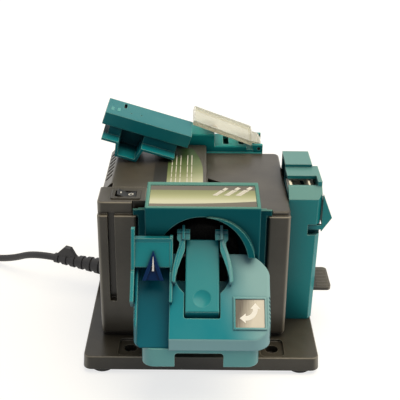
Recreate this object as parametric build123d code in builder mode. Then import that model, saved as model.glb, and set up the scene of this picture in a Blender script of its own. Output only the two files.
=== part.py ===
"""Bench tool sharpener: one motor, a three-way bevel drive and three slide-on stations.

Millimetres. X to the right, Y to the back, Z up. The origin lies on the table, at the centre of the
four bench holes.
"""

import math
import os

from build123d import *

os.makedirs("parts", exist_ok=True)

# Clearances
FIT = 0.02  # a piece pressed or glued on its seat
RUN = 0.06  # a shaft or pin that turns in its hole, on the radius
SLIDE = 0.3  # a face that slides past another
SEAT = 0.2  # a piece that rests on another and lifts off it

# Base
BASE_W = 188.0
BASE_D = 176.0
BASE_TOP = 15.3
BASE_SKIN = 3.0
BASE_CORNER = 7.0
BASE_DRAFT = 4.0
BASE_EDGE = 1.2
FOOT_H = 4.0
FOOT_R = 10.0
FOOT_STEM_R = 3.0
FOOT_STEM_H = 5.0
FOOT_X = 79.0
FOOT_Y = 77.0
HOLE_X = 56.75
HOLE_Y = 72.0
HOLE_R = 2.75
POCKET_W = 19.0
POCKET_LONG = 23.5
POCKET_REAR = 16.5
POCKET_LIP = 3.5
POCKET_DEEP = 2.0
POCKET_CORNER = 4.0
POCKET_FLOOR = 3.0
BORE_R = 5.2
HOLE_BOSS_R = 5.0
HOLE_BOSS_FOOT = 1.0

# Body housing and top cover
BODY_LEFT = -81.5
BODY_RIGHT = 68.5
BODY_FRONT = -54.0
BODY_BACK = 69.4
BODY_CORNER = 5.0
WALL = 2.5
SEAM_Z = 122.0
COVER_Z = 127.3
HUMP_Z = 134.5
STEP_X = 3.6
LEDGE_BACK = -25.0
LEDGE_RIGHT = -44.0
PANEL_STAND = 4.0
PANEL_TOP = 124.8
PANEL_FOOT = 19.0
PANEL_EDGE = 1.5
CHANNEL_HALF = 51.0
CHANNEL_DEPTH = 4.0
GROOVE_DEPTH = 2.7
GROOVE_W = 3.4
SLOT_X = -70.6
SLOT_W = 5.4
SLOT_FOOT = 49.0
SLOT_DEEP = 6.0
SHOULDER = 8.0
VENT_COUNT = 7
VENT_PITCH = 8.8
VENT_W = 4.0
VENT_FIRST = 3.0
VENT_LONG = 7.0
VENT_LOW = 127.5
SIDE_VENTS = 6
VENT_FOOT = 50.0
VENT_TALL = 26.0
COVER_EDGE = 2.0
LIP = 1.8
LIP_DROP = 3.0
NOTCH_W = 9.5
NOTCH_LONG = 8.0
NOTCH_DEEP = 6.5
DIP_W = 30.0
DIP_LONG = 22.0
DIP_BACK = 11.0
POST_R = 4.5
POST_H = 24.0
POST_IN = 6.5
SCREW_R = 1.5
SCREW_HEAD_R = 3.2
SCREW_HEAD_H = 2.2

# Motor, drive and wheels
SHAFT_Y = 6.0
SHAFT_Z = 100.0
SHAFT_R = 4.0
BEARING_R = 9.5
BEARING_W = 6.0
BOSS_WALL = 2.5
CORE_LEFT = -58.0
CORE_LONG = 26.0
CORE_R = 15.0
CORE_SLOTS = 12
AIR_GAP = 0.5
STATOR_R = 29.0
STATOR_RING = 5.0
POLE_H = 13.0
SHOE_T = 3.2
SHOE_CUT = 16.0
COIL_THICK = 3.4
WINDING_LONG = 4.0
WINDING_R = 13.0
COMM_R = 8.5
COMM_LONG = 9.0
COMM_GAP = 1.0
BRUSH_W = 6.0
BRUSH_LONG = 13.0
HOLDER_WALL = 1.5
FAN_R = 26.0
FAN_W = 5.5
FAN_BLADES = 11
FAN_HUB_R = 9.0
CRADLE_W = 5.0
CRADLE_HALF = 22.0
BRACKET_HALF = 21.0
MID_BEARING = -21.0
GEAR_TEETH = 16
GEAR_R = 11.0
GEAR_FACE = 5.0
GEAR_HUB_R = 7.0
GEAR_HUB = 1.5
GEAR_TALL = 0.8
GEAR_DEEP = 1.1
TOOTH_SHARE = 0.4
TOOTH_LEAN = 20.0
BUSH_R = 6.5
BUSH_LONG = 24.0
WHEEL_R = 28.0
WHEEL_T = 12.0
SIDE_WHEEL_R = 26.0
SIDE_WHEEL_T = 10.0
WHEEL_RECESS_R = 13.0
WHEEL_RECESS = 7.0
FLANGE_R = 11.0
FLANGE_T = 2.5
NUT_R = 6.5

# Switch
SWITCH_X = -59.9
SWITCH_Y = -39.6
SWITCH_W = 23.2
SWITCH_D = 17.4
SWITCH_BEZEL = 2.0
SWITCH_RIM = 1.0
SWITCH_DEEP = 20.0
SWITCH_WALL = 1.2
ROCKER_TILT = 9.0
ROCKER_PIN_R = 1.2
ROCKER_UP = 4.2
ROCKER_DROP = 2.2

# Drill station
FRAME_HALF = 42.0
FRAME_FRONT = -95.0
FRAME_WALL = 3.0
FRAME_FOOT = 48.0
ROOF_BACK_Z = 151.5
ROOF_FRONT_Z = 149.5
FLANGE_HALF = 49.5
FLANGE_FOOT = 19.0
TAB_TOP = 129.6
TAB_OUT = 4.0
PASS_HALF = 14.0
OPEN_Z = 109.0
OPEN_R = 33.5
CAM_W = 5.0
CAM_RISE = 9.0
LABEL_EDGE = 2.5
LABEL_DEEP = 0.5
TURRET_HALF = 49.0
TURRET_BACK = -96.0
TURRET_FRONT = -143.5
TURRET_FOOT = 61.0
TURRET_TOP = 113.0
FASCIA_TOP = 70.0
TURRET_CORNER = 13.0
TURRET_EDGE = 2.0
TURRET_CUT_W = 22.0
TURRET_CUT_D = 10.8
RIM_W = 5.0
LIP_T = 2.0
LIP_OUT = 3.3
WELL_R = 20.3
WELL_DEEP = 17.0
WELL_DOWN = 14.2
TROUGH_LEFT = -46.5
TROUGH_RIGHT = -23.5
TROUGH_DEEP = 8.5
ARROW_X = 34.2
ARROW_DOWN = 30.5
ARROW_SIZE = 21.0
GRIP_RIBS = 8
GRIP_PITCH = 2.2
GRIP_DEEP = 1.0
SKIRT_WALL = 3.0
SKIRT_INSET = 1.5
SKIRT_FOOT = 46.0
BAND_FOOT = 57.5
LEG_INNER = 18.0
LEG_OUTER = 42.0
FIN_X = 13.9
FIN_T = 1.8
FIN_H = 10.0
FIN_UP = 33.0
FIN_CROSS = 9.4
FIN_CROSS_DEEP = 7.0
FIN_FLARE = 8.0
FIN_FOOT = 10.0
STRIP_HALF = 12.2
STRIP_T = 9.0
STRIP_UP = 25.0
STRIP_DOWN = 30.0
STRIP_STAND = 1.2
STRIP_PIN_R = 1.6
STRIP_PIN_UP = 14.0
DIMPLE_R = 6.5
DIMPLE_DEEP = 1.4
DIMPLE_DOWN = 20.0
GAUGE_TOP = 135.0
GAUGE_BAR_Z = 126.5
GAUGE_FOOT_Y = -112.0
GAUGE_FOOT_Z = 99.0
GAUGE_STEP_Y = -110.0
GAUGE_STEP_Z = 106.5
GAUGE_PLATE_FOOT = 108.5
GAUGE_WALL = 2.6
VEE_TOP = 119.5
VEE_FOOT = 100.0
VEE_HALF = 7.8
VEE_LEG = 2.8
VEE_T = 2.4
VEE_WEB = 0.9

# Chisel station
COLUMN_FRONT = -30.0
COLUMN_BACK = 42.0
COLUMN_FOOT = BASE_TOP + SEAT
COLUMN_TOP = 127.0
COLUMN_WIDE_FOOT = 24.8
COLUMN_WIDE_TOP = 27.2
COLUMN_BEVEL = 3.5
COLUMN_WALL = 2.5
BEVEL_TOP = 134.4
BEVEL_RUN = 10.0
HOOD_FRONT = -8.0
HOOD_STEP = 10.0
HOOD_BACK = 13.0
HOOD_Z = 138.5
HOOD_REAR_Z = 141.0
HOOD_REAR_IN = 5.0
RAIL_WEB = 2.4
RAIL_HEAD = 6.6
RAIL_HEAD_T = 2.0
RAIL_STAND = 2.2
LEVER_Z = 101.0
LEVER_X = 80.0
LEVER_T = 2.4
LEVER_FRONT = -26.8
LEVER_ARM = 4.0
LEVER_PIN_R = 1.5
LEVER_TIP = 105.0
LEVER_TOP = 130.0
LEVER_FLANGE = 9.0
LEVER_FLANGE_T = 1.8
NOTCH_HALF = 4.2
PRESS_Z = 40.0
PRESS_X = 87.0
PRESS_T = 3.0
PRESS_TIP = 110.0
PRESS_FRONT = -21.0
PRESS_BACK = 14.0
PRESS_PIN_R = 1.8

# Knife station
KNIFE_LEFT = -42.0
KNIFE_RIGHT = 46.0
KNIFE_STEP = 11.0
KNIFE_FRONT = 73.0
KNIFE_BACK = 106.0
KNIFE_TALL_Z = 143.5
KNIFE_LOW_Z = 132.5
KNIFE_FOOT = 60.0
KNIFE_WALL = 3.0
KNIFE_FLANGE_HALF = 53.6
KNIFE_FLANGE_T = 2.6
KNIFE_FLANGE_TOP = 127.0
KNIFE_SLOT_W = 5.0
GUARD_HINGE_X = 51.0
GUARD_HINGE_Z = 130.1
GUARD_TILT = 20.2
GUARD_LONG = 64.4
GUARD_RISE = 3.0
GUARD_EDGE = 68.5
GUARD_FRONT = 77.0
GUARD_BACK = 110.0
GUARD_KNUCKLE = 102.7
GUARD_T = 2.0
GUARD_RIM = 4.0
GUARD_PIN_R = 1.5

# Loose blade guide
GUIDE_TILT = 16.7
GUIDE_LONG = 76.0
GUIDE_FRONT = 38.0
GUIDE_DEPTH = 38.0
GUIDE_H = 11.0
GUIDE_RIGHT_X = -13.0
GUIDE_WALL = 2.2
HAT_FRONT = 27.0
HAT_LONG = 34.0
HAT_T = 2.0
HAT_TAB = 3.0
HAT_IN = 17.7
HAT_OUT = 36.6
HAT_END = 67.0
HAT_LOW = 10.0
GUIDE_SLOT_X = 16.0
GUIDE_SLOT_LONG = 11.0
GUIDE_DOT_R = 0.8

# Mains lead
CORD_D = 6.5
BOOT_Y = 35.3
BOOT_Z = 27.0
BOOT_LONG = 55.0
BOOT_R = 8.0
BOOT_TIP_R = 4.6
BOOT_NECK_R = 5.5
BOOT_RIBS = 6
BOOT_LUG_FROM = 32.0
BOOT_LUG_LONG = 20.0
BOOT_LUG_H = 13.5
BOOT_LUG_T = 5.0
COIL_X = -270.0
COIL_Y = 156.0
COIL_R_OUT = 48.2
COIL_PITCH = 7.2
COIL_TURNS = 3
COIL_RAISE = 1.5
TIE_T = 0.9
TIE_W = 12.0
TIE_GAP = 0.5
PLUG_LONG = 36.0
PLUG_W = 26.0
PLUG_H = 20.0
PLUG_PIN_R = 2.4
PLUG_PIN_LONG = 19.0
PLUG_PIN_APART = 19.0

# Places worked out from the sizes above
CHANNEL_FLOOR = BODY_FRONT + CHANNEL_DEPTH
PANEL_FRONT = BODY_FRONT - PANEL_STAND
IN_LEFT = BODY_LEFT + WALL
IN_RIGHT = BODY_RIGHT - WALL
IN_FRONT = CHANNEL_FLOOR + WALL
IN_BACK = BODY_BACK - WALL
APEX = Vector(0, SHAFT_Y, SHAFT_Z)
POSTS = [
    (BODY_LEFT + POST_IN, BODY_FRONT + POST_IN),
    (BODY_RIGHT - POST_IN, BODY_FRONT + POST_IN),
    (BODY_LEFT + POST_IN, BODY_BACK - POST_IN),
    (BODY_RIGHT - POST_IN, BODY_BACK - POST_IN),
]
LEFT_SEAT = IN_LEFT + BEARING_W
RIGHT_BEARING = IN_RIGHT - 1.0 - BEARING_W
RIGHT_SEAT = RIGHT_BEARING - 1.0
SIDE_RAIL_FRONT = COLUMN_FRONT + 6.0
SIDE_RAIL_BACK = COLUMN_BACK - 6.0
RAIL_OUT = BODY_RIGHT + RAIL_STAND
RAIL_FOOT = BASE_TOP + 0.7
RAIL_TOP = SEAM_Z - 4.0
CORE_RIGHT = CORE_LEFT + CORE_LONG
COMM_LEFT = CORE_LEFT - WINDING_LONG - COMM_GAP - COMM_LONG
FAN_LEFT = CORE_RIGHT + WINDING_LONG + 0.5
SIDE_WHEEL_X = RAIL_OUT + 1.8
SIDE_WHEEL_END = SIDE_WHEEL_X + SIDE_WHEEL_T
CONE = GEAR_R * math.sqrt(2)
GEAR_BACK = GEAR_R + GEAR_DEEP * 2 * GEAR_R / GEAR_TEETH * math.sqrt(0.5)
SPINDLE_IN = (CONE - GEAR_FACE) * math.sqrt(0.5) - 1.0
DRILL_WHEEL_Y = PANEL_FRONT - 8.0
KNIFE_WHEEL_Y = BODY_BACK + 6.6
REAR_RAIL_IN = KNIFE_FLANGE_HALF + SLIDE
REAR_RAIL_D = KNIFE_FLANGE_T + 2 * SLIDE + 2.6
TOP_NOTCH = CHANNEL_HALF + GROOVE_DEPTH + 0.8
COLUMN_X = BODY_RIGHT + 0.5
COLUMN_IN = COLUMN_BACK - COLUMN_WALL
FRAME_BACK = CHANNEL_FLOOR - SLIDE
TONGUE_FRONT = CHANNEL_FLOOR - GROOVE_W + SLIDE
FRAME_PLATE = TONGUE_FRONT - 3.4
SLOPE = math.atan2(TURRET_TOP - FASCIA_TOP, TURRET_BACK - TURRET_FRONT)
SLOPE_C = math.cos(SLOPE)
SLOPE_S = math.sin(SLOPE)
WELL_Y = TURRET_BACK - WELL_DOWN * SLOPE_C
WELL_Z = TURRET_TOP - WELL_DOWN * SLOPE_S
SW_X0 = SWITCH_X - SWITCH_W / 2
SW_X1 = SWITCH_X + SWITCH_W / 2
SW_Y0 = SWITCH_Y - SWITCH_D / 2
SW_Y1 = SWITCH_Y + SWITCH_D / 2
SW_WELL_X = SWITCH_W / 2 - SWITCH_BEZEL - SWITCH_WALL
SW_WELL_Y = SWITCH_D / 2 - SWITCH_BEZEL - SWITCH_WALL
ROCKER_HALF = SW_WELL_X - 1.0
ROCKER_Z = HUMP_Z - ROCKER_DROP


def block(x0, x1, y0, y1, z0, z1, mode=Mode.ADD):
    """A box between two corners."""
    with Locations(((x0 + x1) / 2, (y0 + y1) / 2, (z0 + z1) / 2)):
        Box(x1 - x0, y1 - y0, z1 - z0, mode=mode)


def bar_x(x0, x1, y, z, r, mode=Mode.ADD):
    """A round bar along X."""
    with Locations(((x0 + x1) / 2, y, z)):
        Cylinder(r, x1 - x0, rotation=(0, 90, 0), mode=mode)


def bar_y(y0, y1, x, z, r, mode=Mode.ADD):
    """A round bar along Y."""
    with Locations((x, (y0 + y1) / 2, z)):
        Cylinder(r, y1 - y0, rotation=(90, 0, 0), mode=mode)


def bar_z(z0, z1, x, y, r, mode=Mode.ADD):
    """A round bar along Z."""
    with Locations((x, y, (z0 + z1) / 2)):
        Cylinder(r, z1 - z0, mode=mode)


# Base plate: a drafted tray, hollow from below, with a shallow pocket, a bore and a boss at each bench hole
with BuildPart() as base_plate:
    with BuildSketch(Plane.XY.offset(FOOT_H)):
        RectangleRounded(BASE_W, BASE_D, BASE_CORNER)
    extrude(amount=BASE_TOP - FOOT_H, taper=BASE_DRAFT)
    fillet(base_plate.faces().sort_by(Axis.Z)[-1].edges(), BASE_EDGE)
    with BuildSketch(Plane.XY.offset(FOOT_H)):
        RectangleRounded(BASE_W - 2 * BASE_SKIN, BASE_D - 2 * BASE_SKIN, BASE_CORNER - BASE_SKIN)
        with GridLocations(2 * FOOT_X, 2 * FOOT_Y, 2, 2):
            Circle(FOOT_R - 1.0, mode=Mode.SUBTRACT)
        for side, long in ((-1, POCKET_LONG), (1, POCKET_REAR)):
            with GridLocations(2 * HOLE_X, 1, 2, 1):
                with Locations((0, side * (BASE_D / 2 - POCKET_LIP - long / 2))):
                    Rectangle(POCKET_W + 2 * BASE_SKIN, long + 2 * BASE_SKIN, mode=Mode.SUBTRACT)
    extrude(amount=BASE_TOP - BASE_SKIN - FOOT_H, mode=Mode.SUBTRACT)
    with BuildSketch(Plane.XY.offset(BASE_TOP - POCKET_DEEP)):
        for side, long in ((-1, POCKET_LONG), (1, POCKET_REAR)):
            with GridLocations(2 * HOLE_X, 1, 2, 1):
                with Locations((0, side * (BASE_D / 2 - POCKET_LIP - long / 2))):
                    RectangleRounded(POCKET_W, long, POCKET_CORNER)
    extrude(amount=BASE_TOP, mode=Mode.SUBTRACT)
    for x in (-HOLE_X, HOLE_X):
        for y in (-HOLE_Y, HOLE_Y):
            bar_z(HOLE_BOSS_FOOT, FOOT_H + POCKET_FLOOR / 2, x, y, HOLE_BOSS_R)
            bar_z(FOOT_H + POCKET_FLOOR, BASE_TOP + 1, x, y, BORE_R, Mode.SUBTRACT)
            bar_z(0, FOOT_H + POCKET_FLOOR + 1, x, y, HOLE_R, Mode.SUBTRACT)
    for x in (-FOOT_X, FOOT_X):
        for y in (-FOOT_Y, FOOT_Y):
            bar_z(FOOT_H - 1, FOOT_H + FOOT_STEM_H + 0.5, x, y, FOOT_STEM_R + FIT, Mode.SUBTRACT)
    for x in (BODY_LEFT + POST_IN, BODY_RIGHT - POST_IN):
        for y in (BODY_FRONT + POST_IN, BODY_BACK - POST_IN):
            bar_z(FOOT_H, BASE_TOP + 1, x, y, SCREW_R + RUN, Mode.SUBTRACT)
            bar_z(FOOT_H - 1, BASE_TOP - BASE_SKIN, x, y, SCREW_HEAD_R + 0.6, Mode.SUBTRACT)
base_plate.part.label = "base_plate"
export_step(base_plate.part, "parts/base_plate.step")

# Rubber feet: a chamfered pad with a stem pushed into the base
with BuildPart() as one_foot:
    with BuildSketch(Plane.XZ):
        with BuildLine():
            Polyline(
                (0, 0),
                (FOOT_R - 1.5, 0),
                (FOOT_R, 1.5),
                (FOOT_R, FOOT_H),
                (FOOT_STEM_R, FOOT_H),
                (FOOT_STEM_R, FOOT_H + FOOT_STEM_H),
                (0, FOOT_H + FOOT_STEM_H),
                close=True,
            )
        make_face()
    revolve(axis=Axis.Z)
with BuildPart() as rubber_feet:
    with GridLocations(2 * FOOT_X, 2 * FOOT_Y, 2, 2):
        add(one_foot.part)
rubber_feet.part.label = "rubber_feet"
export_step(rubber_feet.part, "parts/rubber_feet.step")

# Raised front panels of the body
with BuildPart() as left_panel:
    block(BODY_LEFT, -CHANNEL_HALF, PANEL_FRONT, IN_FRONT, PANEL_FOOT, PANEL_TOP)
    fillet(left_panel.edges().filter_by(Axis.Z).group_by(Axis.Y)[0].sort_by(Axis.X)[0], BODY_CORNER - 1)
    fillet(left_panel.faces().sort_by(Axis.Y)[0].edges().sort_by(Axis.X)[1:], PANEL_EDGE)
with BuildPart() as right_panel:
    block(CHANNEL_HALF, BODY_RIGHT, PANEL_FRONT, IN_FRONT, PANEL_FOOT, PANEL_TOP)
    fillet(right_panel.edges().filter_by(Axis.Z).group_by(Axis.Y)[0].sort_by(Axis.X)[-1], BODY_CORNER - 1)
    fillet(right_panel.faces().sort_by(Axis.Y)[0].edges().sort_by(Axis.X)[:-1], PANEL_EDGE)

# Switch ledge at the left of the body
with BuildPart() as switch_ledge:
    block(BODY_LEFT, LEDGE_RIGHT, BODY_FRONT, LEDGE_BACK, SEAM_Z, HUMP_Z)
    fillet(switch_ledge.edges().filter_by(Axis.Z).group_by(Axis.Y)[0].sort_by(Axis.X)[0], BODY_CORNER)
    fillet(switch_ledge.faces().sort_by(Axis.Z)[-1].edges().sort_by(Axis.Y)[:-1], PANEL_EDGE)

# Body housing: a tube with the slide channel in front, the rails at the side and back, the seats inside
with BuildPart() as body_housing:
    with BuildSketch(Plane.XY.offset(BASE_TOP)):
        with Locations(((BODY_LEFT + BODY_RIGHT) / 2, (BODY_FRONT + BODY_BACK) / 2)):
            RectangleRounded(BODY_RIGHT - BODY_LEFT, BODY_BACK - BODY_FRONT, BODY_CORNER)
    extrude(amount=SEAM_Z - BASE_TOP)
    add(left_panel.part)
    add(right_panel.part)
    block(CHANNEL_HALF - 1, BODY_RIGHT + 1, BODY_FRONT - SEAT, 0, SEAM_Z, PANEL_TOP + 1, Mode.SUBTRACT)
    add(switch_ledge.part)
    block(
        -CHANNEL_HALF,
        CHANNEL_HALF,
        PANEL_FRONT - 1,
        CHANNEL_FLOOR,
        BASE_TOP - 1,
        SEAM_Z + 1,
        Mode.SUBTRACT,
    )
    block(
        -CHANNEL_HALF - GROOVE_DEPTH,
        CHANNEL_HALF + GROOVE_DEPTH,
        CHANNEL_FLOOR - GROOVE_W,
        CHANNEL_FLOOR,
        BASE_TOP - 1,
        HUMP_Z + 1,
        Mode.SUBTRACT,
    )
    block(
        -CHANNEL_HALF - GROOVE_DEPTH - 0.8,
        LEDGE_RIGHT + 1,
        PANEL_FRONT - 1,
        CHANNEL_FLOOR,
        PANEL_TOP,
        HUMP_Z + 1,
        Mode.SUBTRACT,
    )
    block(-CHANNEL_HALF, LEDGE_RIGHT + 1, PANEL_FRONT - 1, CHANNEL_FLOOR, SEAM_Z, HUMP_Z + 1, Mode.SUBTRACT)
    block(IN_LEFT, IN_RIGHT, IN_FRONT, IN_BACK, BASE_TOP - 1, SEAM_Z, Mode.SUBTRACT)
    block(
        IN_LEFT,
        LEDGE_RIGHT - WALL,
        IN_FRONT,
        LEDGE_BACK - WALL,
        SEAM_Z - 1,
        HUMP_Z - WALL,
        Mode.SUBTRACT,
    )
    block(
        SLOT_X - SLOT_W / 2,
        SLOT_X + SLOT_W / 2,
        PANEL_FRONT - 1,
        PANEL_FRONT + SLOT_DEEP,
        SLOT_FOOT,
        PANEL_TOP + 1,
        Mode.SUBTRACT,
    )
    bar_x(IN_LEFT - 1, LEFT_SEAT, SHAFT_Y, SHAFT_Z, BEARING_R + BOSS_WALL)
    bar_x(IN_LEFT, LEFT_SEAT + 1, SHAFT_Y, SHAFT_Z, BEARING_R + FIT, Mode.SUBTRACT)
    bar_x(RIGHT_SEAT, IN_RIGHT + 1, SHAFT_Y, SHAFT_Z, BEARING_R + BOSS_WALL)
    bar_x(RIGHT_SEAT - 1, RIGHT_BEARING + BEARING_W, SHAFT_Y, SHAFT_Z, BEARING_R + FIT, Mode.SUBTRACT)
    bar_x(RIGHT_SEAT, BODY_RIGHT + 1, SHAFT_Y, SHAFT_Z, SHAFT_R + 1.0, Mode.SUBTRACT)
    bar_y(IN_FRONT - 1, CHANNEL_FLOOR + BUSH_LONG, 0, SHAFT_Z, BUSH_R + BOSS_WALL)
    bar_y(CHANNEL_FLOOR - 1, CHANNEL_FLOOR + BUSH_LONG + 1, 0, SHAFT_Z, BUSH_R + FIT, Mode.SUBTRACT)
    bar_y(BODY_BACK - BUSH_LONG, IN_BACK + 1, 0, SHAFT_Z, BUSH_R + BOSS_WALL)
    bar_y(BODY_BACK - BUSH_LONG - 1, BODY_BACK + 1, 0, SHAFT_Z, BUSH_R + FIT, Mode.SUBTRACT)
    for x, y in POSTS:
        bar_z(BASE_TOP, BASE_TOP + POST_H, x, y, POST_R)
        bar_z(BASE_TOP - 1, BASE_TOP + POST_H - 2, x, y, SCREW_R + FIT, Mode.SUBTRACT)
    for y in (SIDE_RAIL_FRONT, SIDE_RAIL_BACK):
        block(BODY_RIGHT - 0.5, RAIL_OUT, y - RAIL_WEB / 2, y + RAIL_WEB / 2, RAIL_FOOT, RAIL_TOP)
        block(RAIL_OUT, RAIL_OUT + RAIL_HEAD_T, y - RAIL_HEAD / 2, y + RAIL_HEAD / 2, RAIL_FOOT, RAIL_TOP)
    for side in (-1, 1):
        rail_mid = (RAIL_FOOT + RAIL_TOP) / 2
        with Locations((side * (REAR_RAIL_IN + 1.5), BODY_BACK + REAR_RAIL_D / 2 - 0.5, rail_mid)):
            Box(3, REAR_RAIL_D + 1, RAIL_TOP - RAIL_FOOT)
        with Locations((side * REAR_RAIL_IN, BODY_BACK + REAR_RAIL_D - 1.3, rail_mid)):
            Box(6, 2.6, RAIL_TOP - RAIL_FOOT)
    for i in range(SIDE_VENTS):
        y = SHAFT_Y + (i - (SIDE_VENTS - 1) / 2) * VENT_PITCH
        block(
            BODY_LEFT - 1,
            IN_LEFT + 1,
            y - VENT_W / 2,
            y + VENT_W / 2,
            VENT_FOOT,
            VENT_FOOT + VENT_TALL,
            Mode.SUBTRACT,
        )
    bar_x(BODY_LEFT - 1, IN_LEFT + 1, BOOT_Y, BOOT_Z, BOOT_NECK_R + FIT, Mode.SUBTRACT)
    block(
        SWITCH_X - SWITCH_W / 2 + SWITCH_BEZEL,
        SWITCH_X + SWITCH_W / 2 - SWITCH_BEZEL,
        SWITCH_Y - SWITCH_D / 2 + SWITCH_BEZEL,
        SWITCH_Y + SWITCH_D / 2 - SWITCH_BEZEL,
        HUMP_Z - WALL - 1,
        HUMP_Z + 1,
        Mode.SUBTRACT,
    )
body_housing.part.label = "body_housing"
export_step(body_housing.part, "parts/body_housing.step")

# Low part of the top cover
with BuildPart() as cover_low:
    block(LEDGE_RIGHT + SEAT, BODY_RIGHT, BODY_FRONT, BODY_BACK, SEAM_Z, COVER_Z)
    fillet(cover_low.edges().filter_by(Axis.Z).group_by(Axis.X)[-1], BODY_CORNER)
    fillet(cover_low.faces().sort_by(Axis.Z)[-1].edges().group_by(Axis.X)[-1], COVER_EDGE)

# Raised part of the top cover, with the sloping left shoulder
with BuildPart() as cover_hump:
    with BuildSketch(Plane.XZ.offset(-BODY_BACK)):
        with BuildLine():
            Polyline(
                (BODY_LEFT, SEAM_Z),
                (BODY_LEFT, HUMP_Z - SHOULDER),
                (BODY_LEFT + SHOULDER, HUMP_Z),
                (STEP_X, HUMP_Z),
                (STEP_X, SEAM_Z),
                close=True,
            )
        make_face()
    extrude(amount=BODY_BACK - LEDGE_BACK - SEAT)
    fillet(cover_hump.edges().filter_by(Axis.Y).group_by(Axis.Z)[-1].sort_by(Axis.X)[-1], COVER_EDGE)
    fillet(cover_hump.edges().filter_by(Axis.Y).filter_by_position(Axis.X, BODY_LEFT - 1, -20), COVER_EDGE)

# Top cover: both parts in one shell, with louvres, a corner notch, a finger opening and locating lips
with BuildPart() as top_cover:
    add(cover_low.part)
    add(cover_hump.part)
    block(LEDGE_RIGHT + SEAT + WALL, IN_RIGHT, IN_FRONT, IN_BACK, SEAM_Z - 1, COVER_Z - WALL, Mode.SUBTRACT)
    with BuildSketch(Plane.XZ.offset(-IN_BACK)):
        with BuildLine():
            Polyline(
                (IN_LEFT, SEAM_Z - 1),
                (IN_LEFT, HUMP_Z - SHOULDER - 0.4 * WALL),
                (BODY_LEFT + SHOULDER + 0.4 * WALL, HUMP_Z - WALL),
                (STEP_X - WALL, HUMP_Z - WALL),
                (STEP_X - WALL, SEAM_Z - 1),
                close=True,
            )
        make_face()
    extrude(amount=IN_BACK - LEDGE_BACK - SEAT - WALL, mode=Mode.SUBTRACT)
    block(
        IN_LEFT - 1,
        BODY_LEFT + NOTCH_W + WALL,
        LEDGE_BACK + SEAT,
        LEDGE_BACK + NOTCH_LONG + WALL,
        SEAM_Z,
        HUMP_Z - NOTCH_DEEP,
    )
    block(
        BODY_LEFT + NOTCH_W,
        BODY_LEFT + NOTCH_W + WALL,
        LEDGE_BACK + SEAT,
        LEDGE_BACK + NOTCH_LONG + WALL,
        SEAM_Z,
        HUMP_Z - 0.5,
    )
    block(
        BODY_LEFT + 3,
        BODY_LEFT + NOTCH_W + WALL,
        LEDGE_BACK + NOTCH_LONG,
        LEDGE_BACK + NOTCH_LONG + WALL,
        SEAM_Z,
        HUMP_Z - SHOULDER + 2,
    )
    block(
        BODY_LEFT - 1,
        BODY_LEFT + NOTCH_W,
        LEDGE_BACK - 1,
        LEDGE_BACK + NOTCH_LONG,
        HUMP_Z - NOTCH_DEEP,
        HUMP_Z + 1,
        Mode.SUBTRACT,
    )
    for i in range(VENT_COUNT):
        y = VENT_FIRST + i * VENT_PITCH
        block(
            BODY_LEFT - 1,
            BODY_LEFT + VENT_LONG,
            y - VENT_W / 2,
            y + VENT_W / 2,
            VENT_LOW,
            HUMP_Z + 1,
            Mode.SUBTRACT,
        )
    block(-TOP_NOTCH, TOP_NOTCH, BODY_FRONT - 1, CHANNEL_FLOOR + SLIDE, SEAM_Z - 1, HUMP_Z + 1, Mode.SUBTRACT)
    with BuildSketch(Plane.XY.offset(COVER_Z)):
        with BuildLine():
            Polyline(
                (STEP_X + 0.8, DIP_BACK),
                (STEP_X + 0.8 + DIP_W, DIP_BACK - DIP_LONG),
                (STEP_X + 0.8, DIP_BACK - DIP_LONG),
                close=True,
            )
        make_face()
    extrude(amount=-2 * WALL, mode=Mode.SUBTRACT)
    block(
        IN_LEFT + SEAT,
        IN_RIGHT - SEAT,
        IN_BACK - SEAT - LIP,
        IN_BACK - SEAT,
        SEAM_Z - LIP_DROP,
        SEAM_Z + 1,
    )
    block(IN_RIGHT - SEAT - LIP, IN_RIGHT - SEAT, IN_FRONT + 6, IN_BACK - SEAT, SEAM_Z - LIP_DROP, SEAM_Z + 1)
    block(
        IN_LEFT + SEAT,
        IN_LEFT + SEAT + LIP,
        LEDGE_BACK + 14,
        IN_BACK - SEAT,
        SEAM_Z - LIP_DROP,
        SEAM_Z + 1,
    )
    block(IN_LEFT - 1, IN_RIGHT + 1, IN_BACK - SEAT - LIP, IN_BACK + 1, SEAM_Z, SEAM_Z + 1.5)
    block(IN_RIGHT - SEAT - LIP, IN_RIGHT + 1, IN_FRONT + 6, IN_BACK, SEAM_Z, SEAM_Z + 1.5)
    block(IN_LEFT - 1, IN_LEFT + SEAT + LIP, LEDGE_BACK + 14, IN_BACK, SEAM_Z, SEAM_Z + 1.5)
top_cover.part.label = "top_cover"
export_step(top_cover.part, "parts/top_cover.step")

# Screws that hold the body to the base, from below
with BuildPart() as one_screw:
    bar_z(BASE_TOP - BASE_SKIN - SCREW_HEAD_H, BASE_TOP - BASE_SKIN, 0, 0, SCREW_HEAD_R)
    fillet(one_screw.edges().group_by(Axis.Z)[0], 0.7)
    bar_z(BASE_TOP - BASE_SKIN, BASE_TOP + POST_H - 4, 0, 0, SCREW_R)
    low = BASE_TOP - BASE_SKIN - SCREW_HEAD_H
    block(-2.0, 2.0, -0.4, 0.4, low - 1, low + 1.2, Mode.SUBTRACT)
    block(-0.4, 0.4, -2.0, 2.0, low - 1, low + 1.2, Mode.SUBTRACT)
with BuildPart() as base_screws:
    with Locations(*[(x, y, 0) for x, y in POSTS]):
        add(one_screw.part)
base_screws.part.label = "base_screws"
export_step(base_screws.part, "parts/base_screws.step")

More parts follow.
